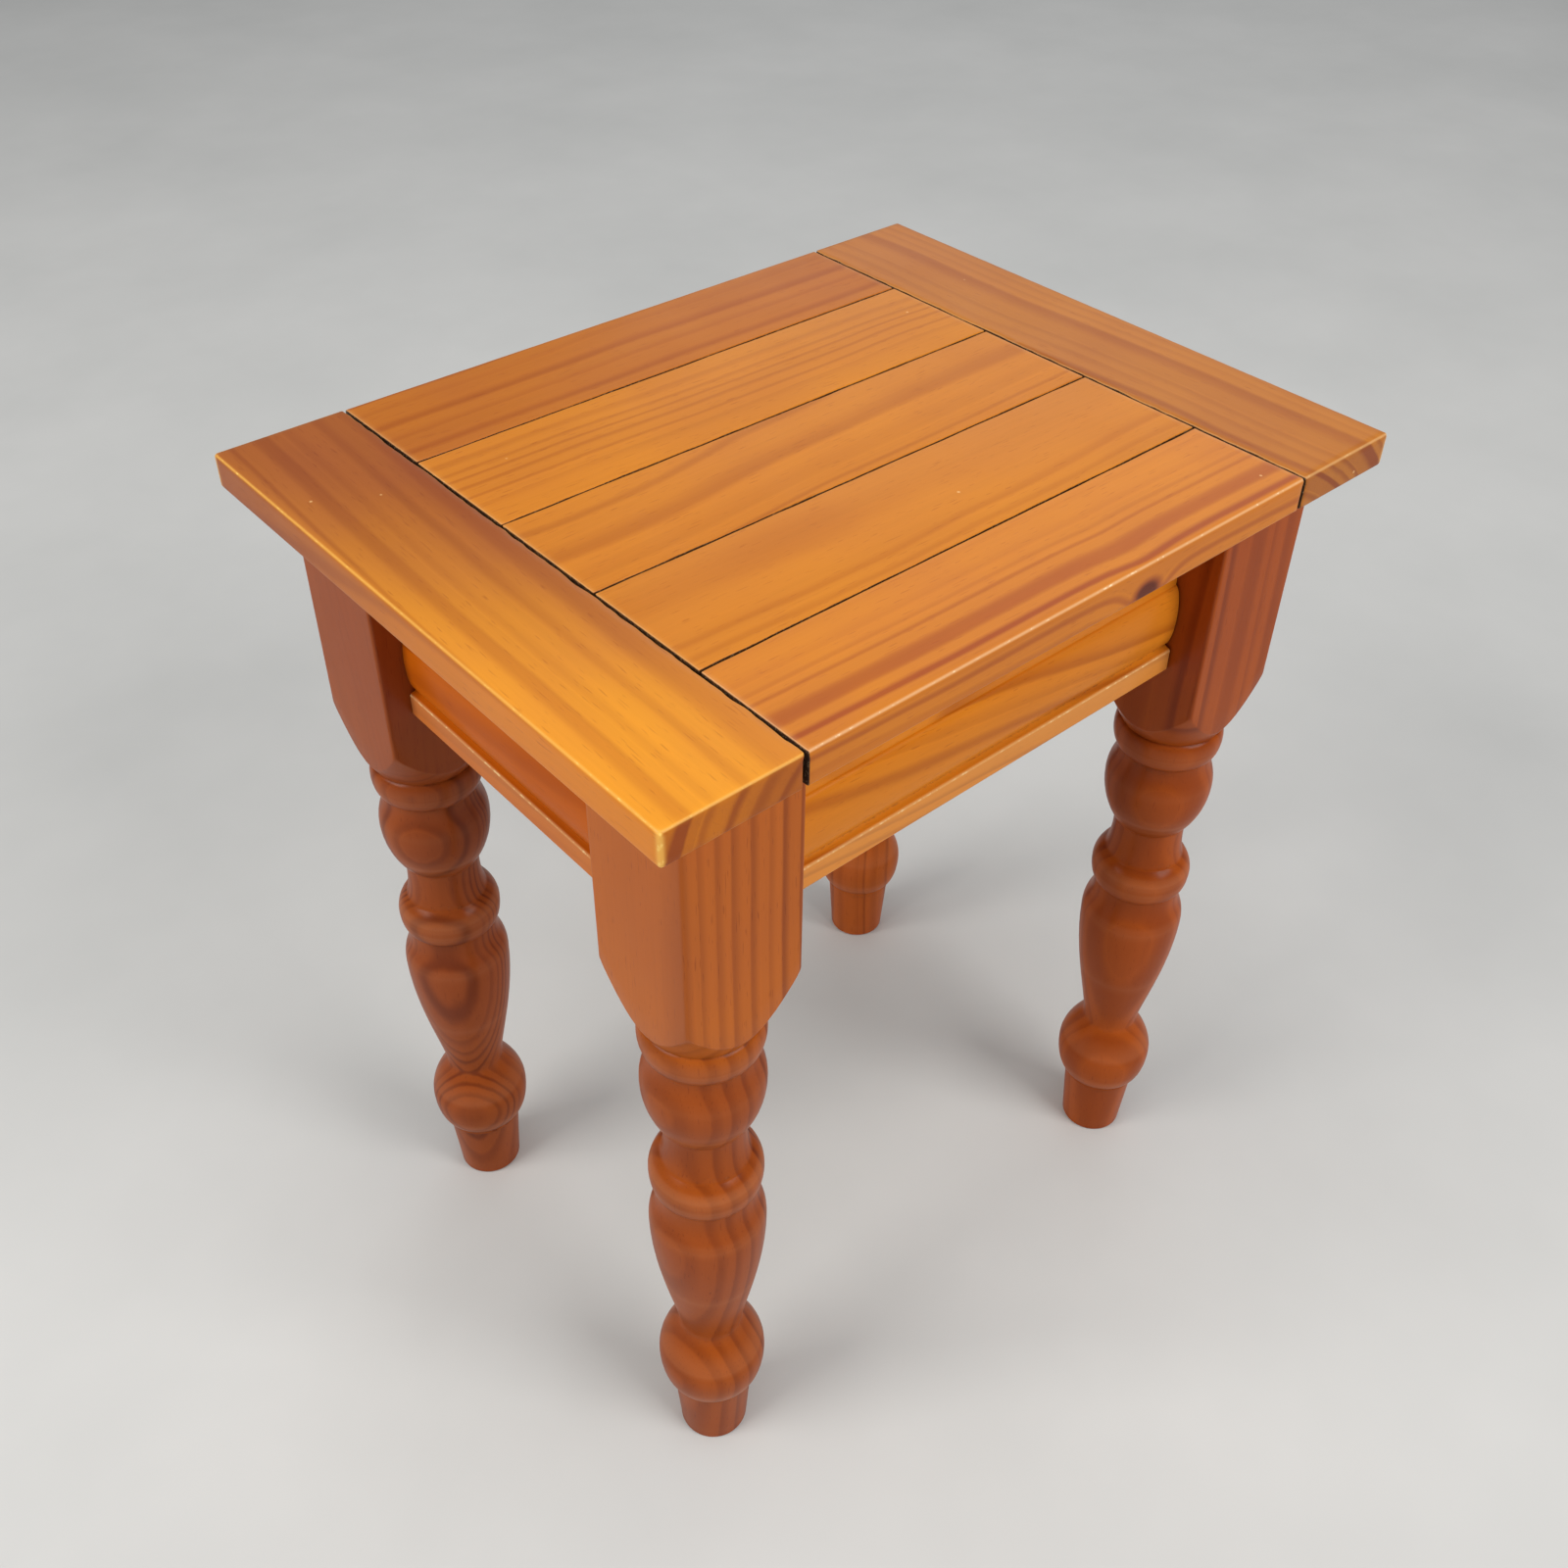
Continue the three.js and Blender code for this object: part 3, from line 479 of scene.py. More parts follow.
def pine(name, early, late, grain="X", pith=(0, 0), tilt=(0, 0), ring=7, strength=1.0, outer=None,
         heart=0, heart_tint=None, gloss=0.36, worn_and_highlight=WORN_AND_HIGHLIGHT_WOOD, cloud=0.16, seed=0.0, knot=None,
         lacquer=0.15, shine=0.1, end_dark=0.35, fibre=0.1, wander=16, soft=0.3, shade=None,
         calm=None, specks=False, upright_shade_tint=None):
    """Pine, stained and lacquered.

    early and late are the colours of the pale and dark parts of a ring. grain is the board's long
    axis. pith is where the middle of the tree lies in the other two coordinates, in mm, and tilt
    its lean towards them, in degrees. ring is one year's growth in mm, and strength how dark its
    late part is. outer is (strength, radius in mm) of the rings far from the pith. heart is the
    heartwood's radius in mm, and heart_tint its tint. gloss is the lacquer's roughness.
    worn_and_highlight is the colour of bare edges, and also tints a painted highlight along edges
    and crests. cloud and fibre are the depth of the patchiness and the streaks.
    knot is (place, radius), both in mm. lacquer and shine are the weights of the clear coat and
    the wood's own reflection. end_dark is how dark end grain turns. wander is how far the pith
    strays, in mm. soft blurs the rings' edges. shade is (from, to, tint): the wood takes the tint
    up to the first place and loses it by the second, in mm. calm is (from, to, share): past the
    second place the rings keep only that share of their strength. specks adds a few tiny pale
    dents. upright_shade_tint is painted shade: it tints the upright faces of a flat board darker
    and warmer, for the weaker sheen on them.
    """
    material, n, shader = new_shader(name)
    coords = n.add("ShaderNodeTexCoord").outputs
    here, facing = coords["Object"], n.split(coords["Normal"])
    parts = n.split(here)
    order = GRAIN_ORDER[grain]
    ordered = n.combine(*[parts[i] for i in order])
    centred = n.vector("SUBTRACT", ordered, (0, pith[0] * MM, pith[1] * MM))
    lean = (0, math.radians(-tilt[1]), math.radians(tilt[0]))
    turn = n.add("ShaderNodeVectorRotate", {"Vector": centred, "Rotation": lean},
                 rotation_type="EULER_XYZ")
    log = turn.outputs[0]

    if knot:
        spot, reach = Vector(knot[0]) * MM, knot[1] * MM
        ox, oy, oz = n.split(n.vector("SUBTRACT", here, tuple(spot)))
        flat = n.combine(n.times(ox, 0.72), n.times(oy, 0.3), oz)
        span = n.math("DIVIDE", n.vector("LENGTH", flat), reach)
        bulge = n.math("POWER", 2.718, n.times(n.times(span, span), -0.35))
        push = n.combine(0.0, n.times(bulge, 5 * MM), n.times(bulge, 6 * MM))
        log = n.vector("ADD", log, push)

    grow = n.add("ShaderNodeGroup", node_tree=GRAIN)
    far, radius = outer or (strength, 50)
    n.fill(grow, {
        "Log": log, "Ring": ring * MM, "Strength": strength, "Heart": heart * MM,
        "Far strength": far, "Turn to outer": radius * MM, "Wander": wander * MM,
        "Softness": soft, "Seed": seed,
    })
    wood = grow.outputs

    # The rings show most on end grain.
    end_grain = n.step(n.math("ABSOLUTE", facing[order[0]]), 0.55, 0.95)
    bold = n.scaled_plus(end_grain, 1.7, 1.0)
    rings = n.math("MINIMUM", n.times(wood["Late"], bold), 0.9)

    def before(start, stop):
        """One up to the first place, nothing past the second, with a patchy border."""
        start, stop = Vector(start) * MM, Vector(stop) * MM
        span = stop - start
        offset = n.vector("SUBTRACT", here, tuple(start))
        way = n.vector("DOT_PRODUCT", offset, tuple(span / span.length_squared))
        return n.step(n.scaled_plus(wood["Cloud"], 0.35, way), 0.0, 1.0, 1.0, 0.0)

    if calm:
        start, stop, kept = calm
        rings = n.times(rings, n.scaled_plus(before(start, stop), 1 - kept, kept))
    colour = n.blend(rings, early, late)
    if heart_tint:
        colour = n.tinted(colour, heart_tint, n.times(wood["Heart"], 0.8))
    light = n.plus(n.times(wood["Fibre"], fibre), n.scaled_plus(wood["Cloud"], cloud, 1.0))
    colour = n.tinted(colour, n.combine(light, light, light))
    stain = n.step(n.noise(here, 11.0, 2.0, 0.5), 0.32, 0.68)
    colour = n.tinted(colour, n.blend(stain, GOLDEN_STAIN, RUSSET_STAIN))
    colour = n.blend(n.times(wood["Pores"], 0.35), colour, late)

    # Darkens the wood up to a place; on the left breadboard this is also painted shade, leaving a
    # painted glare on the outer front.
    if shade:
        start, stop, tint = shade
        colour = n.tinted(colour, tint, before(start, stop))

    # Painted shade: the upright faces are tinted darker and warmer, for the weaker sheen on them.
    if upright_shade_tint:
        upright = n.step(n.math("ABSOLUTE", facing[2]), 0.2, 0.8, 1.0, 0.0)
        colour = n.tinted(colour, upright_shade_tint, upright)

    # End grain drinks more stain.
    colour = n.tinted(colour, END_GRAIN_STAIN, n.times(end_grain, end_dark * 2))

    if knot:
        rim = n.step(span, 0.75, 1.25, 1.0, 0.0)
        heartwood = n.step(span, 0.5, 0.9, 1.0, 0.0)
        colour = n.blend(n.times(rim, 0.8), colour, KNOT_RIM)
        colour = n.blend(n.times(heartwood, 0.92), colour, KNOT_HEART)

    if specks:
        cells = n.add("ShaderNodeTexVoronoi", {"Vector": here, "Scale": SPECK_SCALE}).outputs
        chosen = n.step(n.split(cells["Color"])[0], 0.6, 0.62)
        small = n.step(cells["Distance"], 0.016, 0.036, 1.0, 0.0)
        colour = n.blend(n.times(n.times(chosen, small), 0.7), colour, SPECK)

    # Rubbed edges are pale where the stain has gone, in patches, and are lightened all along,
    # partly as a painted highlight; seams, slots and hollows hold grey dirt and painted shade.
    wear_and_highlight_amount = n.attribute("wear_and_highlight")
    patchy_wear = n.scaled_plus(n.swing(here, 260.0, 4.0, 0.65), 1.2, wear_and_highlight_amount)
    bare = n.step(patchy_wear, 0.94, 1.16)
    # The marked edges are lightened smoothly: wear, and also a painted highlight on outer edges, crests
    # and beads.
    glow = n.times(n.times(wear_and_highlight_amount, wear_and_highlight_amount), 0.8)
    colour = n.blend(glow, colour, n.blend(0.45, early, worn_and_highlight))
    colour = n.blend(n.times(bare, 0.85), colour, worn_and_highlight)
    patchy_dirt_and_shade = n.scaled_plus(n.swing(here, 420.0, 3.0, 0.6), 0.8, n.attribute("dirt_and_shade"))
    dirt_and_shade_share = n.step(patchy_dirt_and_shade, 0.2, 0.75)
    crumbs = n.step(n.noise(here, 800.0, 2.0, 0.5), 0.56, 0.66, 0.0, 0.6)
    colour = n.blend(n.times(dirt_and_shade_share, 0.92), colour, n.blend(crumbs, DIRT_AND_SHADE_COLOUR, DUST))

    smudge = n.noise(here, 22.0, 3.0, 0.6)
    rough = n.scaled_plus(smudge, 0.16, gloss - 0.08)
    rough = n.scaled_plus(bare, 0.25, rough)
    rough = n.scaled_plus(dirt_and_shade_share, 0.4, rough)
    rough = n.scaled_plus(end_grain, 0.1, rough)

    height = n.scaled_plus(wood["Late"], 0.35, n.times(wood["Fibre"], 0.35))
    height = n.minus(height, n.times(wood["Pores"], 0.5))
    height = n.minus(height, n.times(bare, 1.2))
    waves = n.noise(here, 75.0, 2.0, 0.5)
    height = n.scaled_plus(waves, 1.6, height)
    add_bump(n, shader, height, 0.35, 0.12 * MM)

    n.fill(shader, {"Base Color": colour, "Roughness": rough, "Coat Weight": lacquer,
                    "Coat Roughness": 0.24, "Specular IOR Level": shine})
    return material


def plain_wood(name, colours, grain, seed, ring=5, pith=(60, 40)):
    """Planed pine or beech without stain or lacquer, for the hidden frame and the drawer box."""
    return pine(name, *colours, grain=grain, pith=pith, tilt=(2, 1), ring=ring, strength=0.8,
                gloss=0.62, lacquer=0.0, cloud=0.1, seed=seed, end_dark=0.25, fibre=0.14)


def plywood(name):
    """Thin plywood: a plain face veneer, and dark and pale plies where an edge shows."""
    material = pine(name, srgb(206, 166, 116), srgb(176, 130, 82), grain="X", pith=(0, 900), ring=9,
                    tilt=(0, 3), strength=0.5, gloss=0.6, lacquer=0.0, seed=31.0)
    tree = material.node_tree
    n = Nodes(tree)
    shader = next(x for x in tree.nodes if x.type == "BSDF_PRINCIPLED")
    face = shader.inputs["Base Color"].links[0].from_socket
    coords = n.add("ShaderNodeTexCoord").outputs
    up = n.split(coords["Object"])[2]
    plies = n.step(n.math("SINE", n.times(up, 2 * math.pi / (1.33 * MM))), -0.4, 0.4)
    facing = n.math("ABSOLUTE", n.split(coords["Normal"])[2])
    at_edge = n.step(facing, 0.3, 0.7, 1.0, 0.0)
    colour = n.blend(n.times(at_edge, plies), face, srgb(128, 88, 52))
    n.feed(shader.inputs["Base Color"], colour)
    return material


def zinc(name):
    """Bright zinc on steel, a little blotched, for screws and nails."""
    material, n, shader = new_shader(name)
    blotch = n.noise(n.add("ShaderNodeTexCoord").outputs["Object"], 900.0, 3.0, 0.6)
    colour = n.blend(n.step(blotch, 0.35, 0.7), srgb(196, 194, 188), srgb(150, 146, 136))
    rough = n.scaled_plus(blotch, 0.25, 0.22)
    n.fill(shader, {"Base Color": colour, "Roughness": rough, "Metallic": 1.0})
    add_bump(n, shader, blotch, 0.3, 0.05 * MM)
    return material


# ---- The top ----

SEAM = 1.6 * MM  # open groove between two planks
SEAM_EASE = 0.7 * MM
SEAM_STRAY = 0.4 * MM  # how far its edges stray from straight
SLOT_STRAY = 1.3 * MM  # how far a breadboard end's rough edge reaches into its slot
END_STRAY = 0.5 * MM  # the same for a plank's end
TONGUE_LENGTH = 6 * MM
TONGUE_THICKNESS = 5 * MM
TONGUE_GAP = 0.3 * MM
EDGE_ROUND = 1.7 * MM
END_ROUND = 1.4 * MM
SHOULDER = 2.5 * MM
CAP_MARGIN = 2.5 * MM

# Wear at an edge, where 1 or more leaves almost half of its spots bare, and how far it reaches.
# Along the outer edges this value also paints a pale highlight line.
OUTER_WEAR_AND_HIGHLIGHT = 1.4
OUTER_WEAR_AND_HIGHLIGHT_REACH = 1.9 * MM
CORNER_WEAR = 1.5
CORNER_WEAR_REACH = 3.4 * MM
SEAM_WEAR = 0.6
SEAM_WEAR_REACH = 0.9 * MM
SLOT_WEAR = 1.05
SLOT_WEAR_REACH = 1.1 * MM
SEAM_DIRT_AND_SHADE_REACH = 1.6 * MM
SLOT_SKIN = 0.35 * MM  # of a plank's end, where its dirt and painted shade start
UPPER_EDGE = 2 * MM  # depth down to which a groove's edge strays
CORE_DEPTH = 20 * MM  # below an edge of a plank, where rubbing pushes it towards
PLANK_COUNT = 5

PLANK_LOOKS = {
    1: dict(early=srgb(206, 128, 46), late=srgb(160, 78, 38), pith=(-208, 505), tilt=(0.9, 0.3), soft=1,
            ring=9, strength=0.82, outer=(0.16, 74), wander=4, seed=1.0, knot=((44, -176, 523.5), 7.5),
            # Its upright faces get a painted shade tint.
            # Plank 1's cream edge colour also paints a highlight line along its front edge.
            upright_shade_tint=(0.96, 0.88, 0.45, 1), worn_and_highlight=srgb(250, 224, 180)),
    2: dict(early=srgb(204, 128, 42), late=srgb(160, 80, 26), pith=(-60, 470), tilt=(1.0, 1.0),
            ring=11, strength=0.36, wander=8, soft=0.7, seed=2.0),
    3: dict(early=srgb(204, 127, 40), late=srgb(150, 74, 26), pith=(60, 440), tilt=(-1.2, 0.8),
            ring=10, strength=0.36, wander=8, soft=0.7, seed=3.4),
    4: dict(early=srgb(202, 126, 38), late=srgb(148, 68, 22), pith=(-20, 480), tilt=(1.2, -0.8),
            ring=9, strength=0.32, wander=10, soft=0.6, seed=4.1),
    5: dict(early=srgb(181, 107, 38), late=srgb(142, 64, 24), pith=(210, 430), tilt=(0.8, 0.8),
            ring=8, strength=0.4, wander=8, soft=0.5, seed=5.7),
}


def plank_section(width, is_first, is_last, height):
    low, high = 0, height
    tongue_low = (height - TONGUE_THICKNESS) / 2
    tongue_high = tongue_low + TONGUE_THICKNESS
    left = 0 if is_first else SEAM / 2
    right = width if is_last else width - SEAM / 2
    groove = [
        (left, tongue_high + TONGUE_GAP, 0),
        (left + TONGUE_LENGTH, tongue_high + TONGUE_GAP, 0),
        (left + TONGUE_LENGTH, tongue_low - TONGUE_GAP, 0),
        (left, tongue_low - TONGUE_GAP, 0),
    ]
    tongue = [
        (right, tongue_low, 0),
        (right + TONGUE_LENGTH, tongue_low, 0),
        (right + TONGUE_LENGTH, tongue_high, 0),
        (right, tongue_high, 0),
    ]
    return outline([
        (left, low, END_ROUND if is_first else SEAM_EASE),
        (right, low, END_ROUND if is_last else SEAM_EASE),
        *([] if is_last else tongue),
        (right, high, EDGE_ROUND if is_last else SEAM_EASE),
        (left, high, EDGE_ROUND if is_first else SEAM_EASE),
        *([] if is_first else groove),
    ], SHOULDER)


def groove_dirt_and_shade(depth):
    """Dirt and painted shade in a seam or a slot: none at the surface, and full from a little below it.
    """
    return clamp(depth / (0.7 * MM) - 0.2)


def stray(obj, reach, seed, size, near, push):
    """Makes a groove's straight upper edge uneven.

    near(position) says whether a point is on that edge, and push is the step for an unevenness
    of one.
    """
    for vertex in obj.data.vertices:
        if near(vertex.co):
            vertex.co += push * reach * unevenness(vertex.co, size, seed)


def make_plank(number):
    node = f"top_plank_{number}"
    low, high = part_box(node)
    is_first, is_last = number == 1, number == PLANK_COUNT
    front = low.y if is_first else low.y - SEAM / 2
    back = high.y if is_last else high.y - TONGUE_LENGTH + SEAM / 2
    end = high.x

    def place(along, x, y):
        return (along, front + x, low.z + y)

    section = plank_section(back - front, is_first, is_last, high.z - low.z)
    obj = swept(f"{node}_board", section, high.x - low.x, place, end_round=0.6 * MM)

    edges = ([front] if is_first else []) + ([back] if is_last else [])
    seams = ([] if is_first else [(front, 1)]) + ([] if is_last else [(back, -1)])

    # The outer edges get wear and a painted highlight line.
    def outer_edge(co):
        gaps = [math.hypot(co.y - y, co.z - high.z) for y in edges]
        return max([OUTER_WEAR_AND_HIGHLIGHT * fade(gap, OUTER_WEAR_AND_HIGHLIGHT_REACH) for gap in gaps], default=0)

    def wear_and_highlight(co):
        seam = min(math.hypot(co.y - y, co.z - high.z) for y, _ in seams)
        slot = math.hypot(abs(co.x) - end, co.z - high.z)
        return max(outer_edge(co), SEAM_WEAR * fade(seam, SEAM_WEAR_REACH),
                   SLOT_WEAR * fade(slot, SLOT_WEAR_REACH))

    # Dirt and painted shade down in the seams and at the slot ends.
    def dirt_and_shade(co):
        at_seam = any(abs(co.y - y) < SEAM_DIRT_AND_SHADE_REACH for y, _ in seams)
        at_slot = abs(co.x) > end - SLOT_SKIN
        return groove_dirt_and_shade(high.z - co.z) if at_seam or at_slot else 0

    def core(co):
        return Vector((co.x, (front + back) / 2, co.z - CORE_DEPTH))

    paint_wear_dirt_and_light(obj, wear_and_highlight, dirt_and_shade)
    soften_edges(obj, outer_edge, core, 0.25 * MM, number)

    def upper(co):
        return high.z - co.z < UPPER_EDGE

    for edge, inward in seams:
        for push in (inward, -inward):
            stray(obj, SEAM_STRAY, number + push, 12 * MM,
                  lambda co: upper(co) and abs(co.y - edge) < 1.8 * MM, Vector((0, push, 0)))
    for sign in (-1, 1):
        stray(obj, END_STRAY, number + 10 * sign, 6 * MM,
              lambda co: upper(co) and sign * co.x > end - 1 * MM, Vector((sign, 0, 0)))
    smooth(obj, 40)
    look = pine(f"{node}_pine", grain="X", specks=True, **PLANK_LOOKS[number])
    finish_piece(obj, node, "table", look)


BREADBOARD_LOOKS = {
    "left": dict(early=srgb(230, 153, 48), late=srgb(168, 86, 32), pith=(-118, 490), tilt=(-1.5, 0.8),
                 ring=12, strength=0.34, wander=8, soft=0.8, heart=66, heart_tint=(0.82, 0.74, 0.98, 1),
                 # The left breadboard's pale yellow edge colour also paints a highlight along its outer
                 # edge.
                 seed=6.3, end_dark=0.8, worn_and_highlight=srgb(246, 204, 112),
                 # The shade darkens the board towards its inner back: an uneven stain, and also painted
                 # shade that leaves a painted glare on its outer front.
                 shade=((-73, -73, 539), (-218, -146, 539), (0.46, 0.34, 0.85, 1)),
                 # Painted shade tint on the upright faces.
                 upright_shade_tint=(0.88, 0.7, 0.36, 1)),
    "right": dict(early=srgb(184, 114, 42), late=srgb(140, 66, 26), pith=(110, 430), tilt=(1.0, 0.6),
                  ring=8, strength=0.42, wander=10, soft=0.6, seed=7.9, end_dark=0.15),
}


def make_breadboard(side):
    node = f"breadboard_end_{side}"
    sign = SIDES[side]
    low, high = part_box(node)
    inner, outer = (low.x, high.x) if sign > 0 else (high.x, low.x)
    width, height = high.x - low.x, high.z - low.z
    half = (high.y - low.y) / 2
    middle = (inner + outer) / 2
    section = outline([
        (0, 0, SEAM_EASE),
        (width, 0, END_ROUND),
        (width, height, EDGE_ROUND),
        (0, height, SEAM_EASE),
    ], SHOULDER)

    def place(along, x, y):
        return (inner + sign * x, along, low.z + y)

    obj = swept(f"{node}_board", section, 2 * half, place, end_round=END_ROUND, step=3.5 * MM,
                margin=CAP_MARGIN)

    # The outer rim and ends get wear and a painted highlight line; the corners are chipped.
    def wear_and_highlight(co):
        rim = OUTER_WEAR_AND_HIGHLIGHT * fade(math.hypot(co.x - outer, co.z - high.z), OUTER_WEAR_AND_HIGHLIGHT_REACH)
        ends = 1.3 * fade(math.hypot(abs(co.y) - half, co.z - high.z), OUTER_WEAR_AND_HIGHLIGHT_REACH)
        corner = CORNER_WEAR * fade(math.hypot(co.x - outer, abs(co.y) - half), CORNER_WEAR_REACH)
        slot = fade(math.hypot(co.x - inner, co.z - high.z), 1 * MM)
        return max(rim, ends, corner, slot)

    # Dirt and painted shade down in the slot.
    def dirt_and_shade(co):
        at_slot = abs(co.x - inner) < 1 * MM and abs(co.y) < half - 0.6 * MM
        return groove_dirt_and_shade(high.z - co.z) if at_slot else 0

    def core(co):
        return Vector((middle, co.y * 0.8, low.z))

    paint_wear_dirt_and_light(obj, wear_and_highlight, dirt_and_shade)
    soften_edges(obj, wear_and_highlight, core, 0.3 * MM, 11 + sign)

    def slot_edge(co):
        return abs(co.x - inner) < 1.2 * MM and high.z - co.z < UPPER_EDGE

    stray(obj, SLOT_STRAY, 5 + sign, 7 * MM, slot_edge, Vector((-sign, 0, 0)))
    smooth(obj, 40)
    look = pine(f"{node}_pine", grain="Y", specks=True, **BREADBOARD_LOOKS[side])
    finish_piece(obj, node, "table", look)


# ---- The legs ----

BLOCK_HALF = 32.7
BLOCK_CORNER = 1.5
CURVE_STEPS = 12


class Profile:
    """A line [radius, height] in mm, drawn with straight and curved strokes."""

    def __init__(self, radius, height):
        self.points = [Vector((radius, height))]

    def line(self, radius, height, steps=1):
        start = self.points[-1].copy()
        self.points += [start.lerp(Vector((radius, height)), (i + 1) / steps) for i in range(steps)]
        return self

    def curve(self, *numbers):
        """A cubic curve: its two handles and its end, each a radius and a height."""
        a = self.points[-1].copy()
        b, c, d = (Vector(numbers[i:i + 2]) for i in (0, 2, 4))
        for i in range(1, CURVE_STEPS + 1):
            t = i / CURVE_STEPS
            s = 1 - t
            self.points.append(a * s ** 3 + b * 3 * s * s * t + c * 3 * s * t * t + d * t ** 3)
        return self


def turned_profile():
    """From the foot up: tapered foot, fillet, bulb, baluster, ring, cove, ball and ring."""
    return (
        Profile(18.2, 0)
        .line(19.3, 1.2)
        .line(22.6, 47.5, 6)
        .line(24, 48.5)
        .line(24, 51)
        .curve(27.5, 53, 30, 61, 30, 72.5)
        .curve(30, 87, 17.4, 99, 17.3, 103.5)
        .curve(19.1, 121.5, 30.9, 161, 30.9, 199.5)
        .curve(30.9, 212, 26.3, 212, 26, 224)
        .line(26, 229.5, 2)
        .curve(28.4, 229.8, 29.6, 235, 29.6, 241)
        .curve(29.6, 247.5, 25.5, 252, 23.2, 254.5)
        .curve(21, 260, 20.6, 272, 21.1, 279.5)
        .curve(24.5, 284, 31, 295.5, 31, 311)
        .curve(31, 322, 27.4, 324, 26.6, 333.5)
        .line(26.6, 336)
        .curve(29.4, 336.5, 30.9, 342, 30.9, 347)
        .curve(30.9, 351.5, 30, 354.5, 28.3, 355.8)
        .points
    )


# The shoulder runs out from the top ring as a cone and curls up as it meets the corners.
CONE = Profile(28.3, 355.8).line(43.4, 384, 8).curve(44.8, 386.7, 46.2, 390, 47.4, 397).points


def on_cone(value, given, wanted):
    """The cone's radius (0) or height (1) where the other one has the value."""
    for low, high in zip(CONE, CONE[1:]):
        if low[given] <= value <= high[given]:
            share = (value - low[given]) / (high[given] - low[given])
            return lerp(low[wanted], high[wanted], share)
    return CONE[-1][wanted]


def block_radius(angle):
    """Distance from the axis to the square block's side, in mm, at an angle in radians."""
    folded = abs((angle + HALF_PI / 2) % HALF_PI - HALF_PI / 2)
    straight = BLOCK_HALF / math.cos(folded)
    flat = BLOCK_HALF - BLOCK_CORNER
    if straight * math.sin(folded) <= flat:
        return straight
    along = flat * (math.cos(folded) + math.sin(folded))
    return along + math.sqrt(max(along * along - 2 * flat * flat + BLOCK_CORNER ** 2, 0))


def leg_angles():
    """Angles round the leg, closer together at the block's corners."""
    edge = math.degrees(math.atan2(BLOCK_HALF - BLOCK_CORNER, BLOCK_HALF))
    face = [-edge, -42.6, -41, *spaced(-38, 38, 5.5), 41, 42.6, edge]
    corner = spaced(edge, 90 - edge, 0.68)[1:-1]
    quarter = [*face, *corner]
    return [math.radians(turn + value) for turn in (0, 90, 180, 270) for value in quarter]


LEG_PROFILE = turned_profile()
CONE_STEPS = 12
CREASE = 0.5  # softened strip each side of the shoulder's edge
CREASE_INSET = 0.1
BLOCK_STATIONS = 10
CREST_WEAR_AND_HIGHLIGHT = 0.7  # wear and painted highlight of the rings and the ball, where they stand out by this many mm
CREST_HEIGHT = 1.6
ARRIS_WEAR = 0.15  # of the block's corners
COVE_DIRT_AND_SHADE = 0.3  # dirt and painted shade where the turning lies back by this many mm
COVE_DEPTH = 2.2
NEARBY = 9  # mm up and down that count as the neighbourhood


def leg_rings(angles, height):
    """Rings of points (angle, radius, height) in mm, from the foot to the top of the block."""
    rings = [[(a, p.x, p.y) for a in angles] for p in LEG_PROFILE]
    reach = [block_radius(a) for a in angles]
    meet = [on_cone(r, 0, 1) for r in reach]
    foot = LEG_PROFILE[-1].y
    for k in range(1, CONE_STEPS + 1):
        share = k / CONE_STEPS
        ring = []
        for a, r, top in zip(angles, reach, meet):
            z = lerp(foot, top - CREASE, share)
            ring.append((a, min(on_cone(z, 1, 0), r), z))
        rings.append(ring)
    rings.append([(a, r - CREASE_INSET, z) for a, r, z in zip(angles, reach, meet)])
    for k in range(BLOCK_STATIONS + 1):
        share = k / BLOCK_STATIONS
        rings.append([(a, r, lerp(z + CREASE, height, share))
                      for a, r, z in zip(angles, reach, meet)])
    return rings


LEG_LOOKS = {
    "front_left": dict(early=srgb(182, 97, 30), late=srgb(112, 44, 14), pith=(105.5, 12), ring=8.5,
                       tilt=(0.2, 0.3), strength=0.55, outer=(0.3, 150), wander=5, soft=0.4, seed=11.2,
                       shade=((0, 0, 335), (0, 0, 372), (0.68, 0.56, 0.6, 1))),
    "back_left": dict(early=srgb(150, 73, 28), late=srgb(94, 36, 16), pith=(38, 44), ring=4.6,
                      tilt=(-3.2, -1.8), strength=0.7, wander=14, soft=0.7, seed=12.9,
                      calm=((0, 0, 340), (0, 0, 380), 0.12)),
    "front_right": dict(early=srgb(164, 77, 20), late=srgb(112, 42, 12), pith=(80, 66), ring=10,
                        tilt=(0.5, 0.4), strength=0.55, wander=6, soft=0.5, seed=14.5),
    "back_right": dict(early=srgb(180, 90, 32), late=srgb(120, 50, 16), pith=(-74, 50), ring=8,
                       tilt=(0.7, -0.5), strength=0.5, wander=8, soft=0.5, seed=15.8),
}


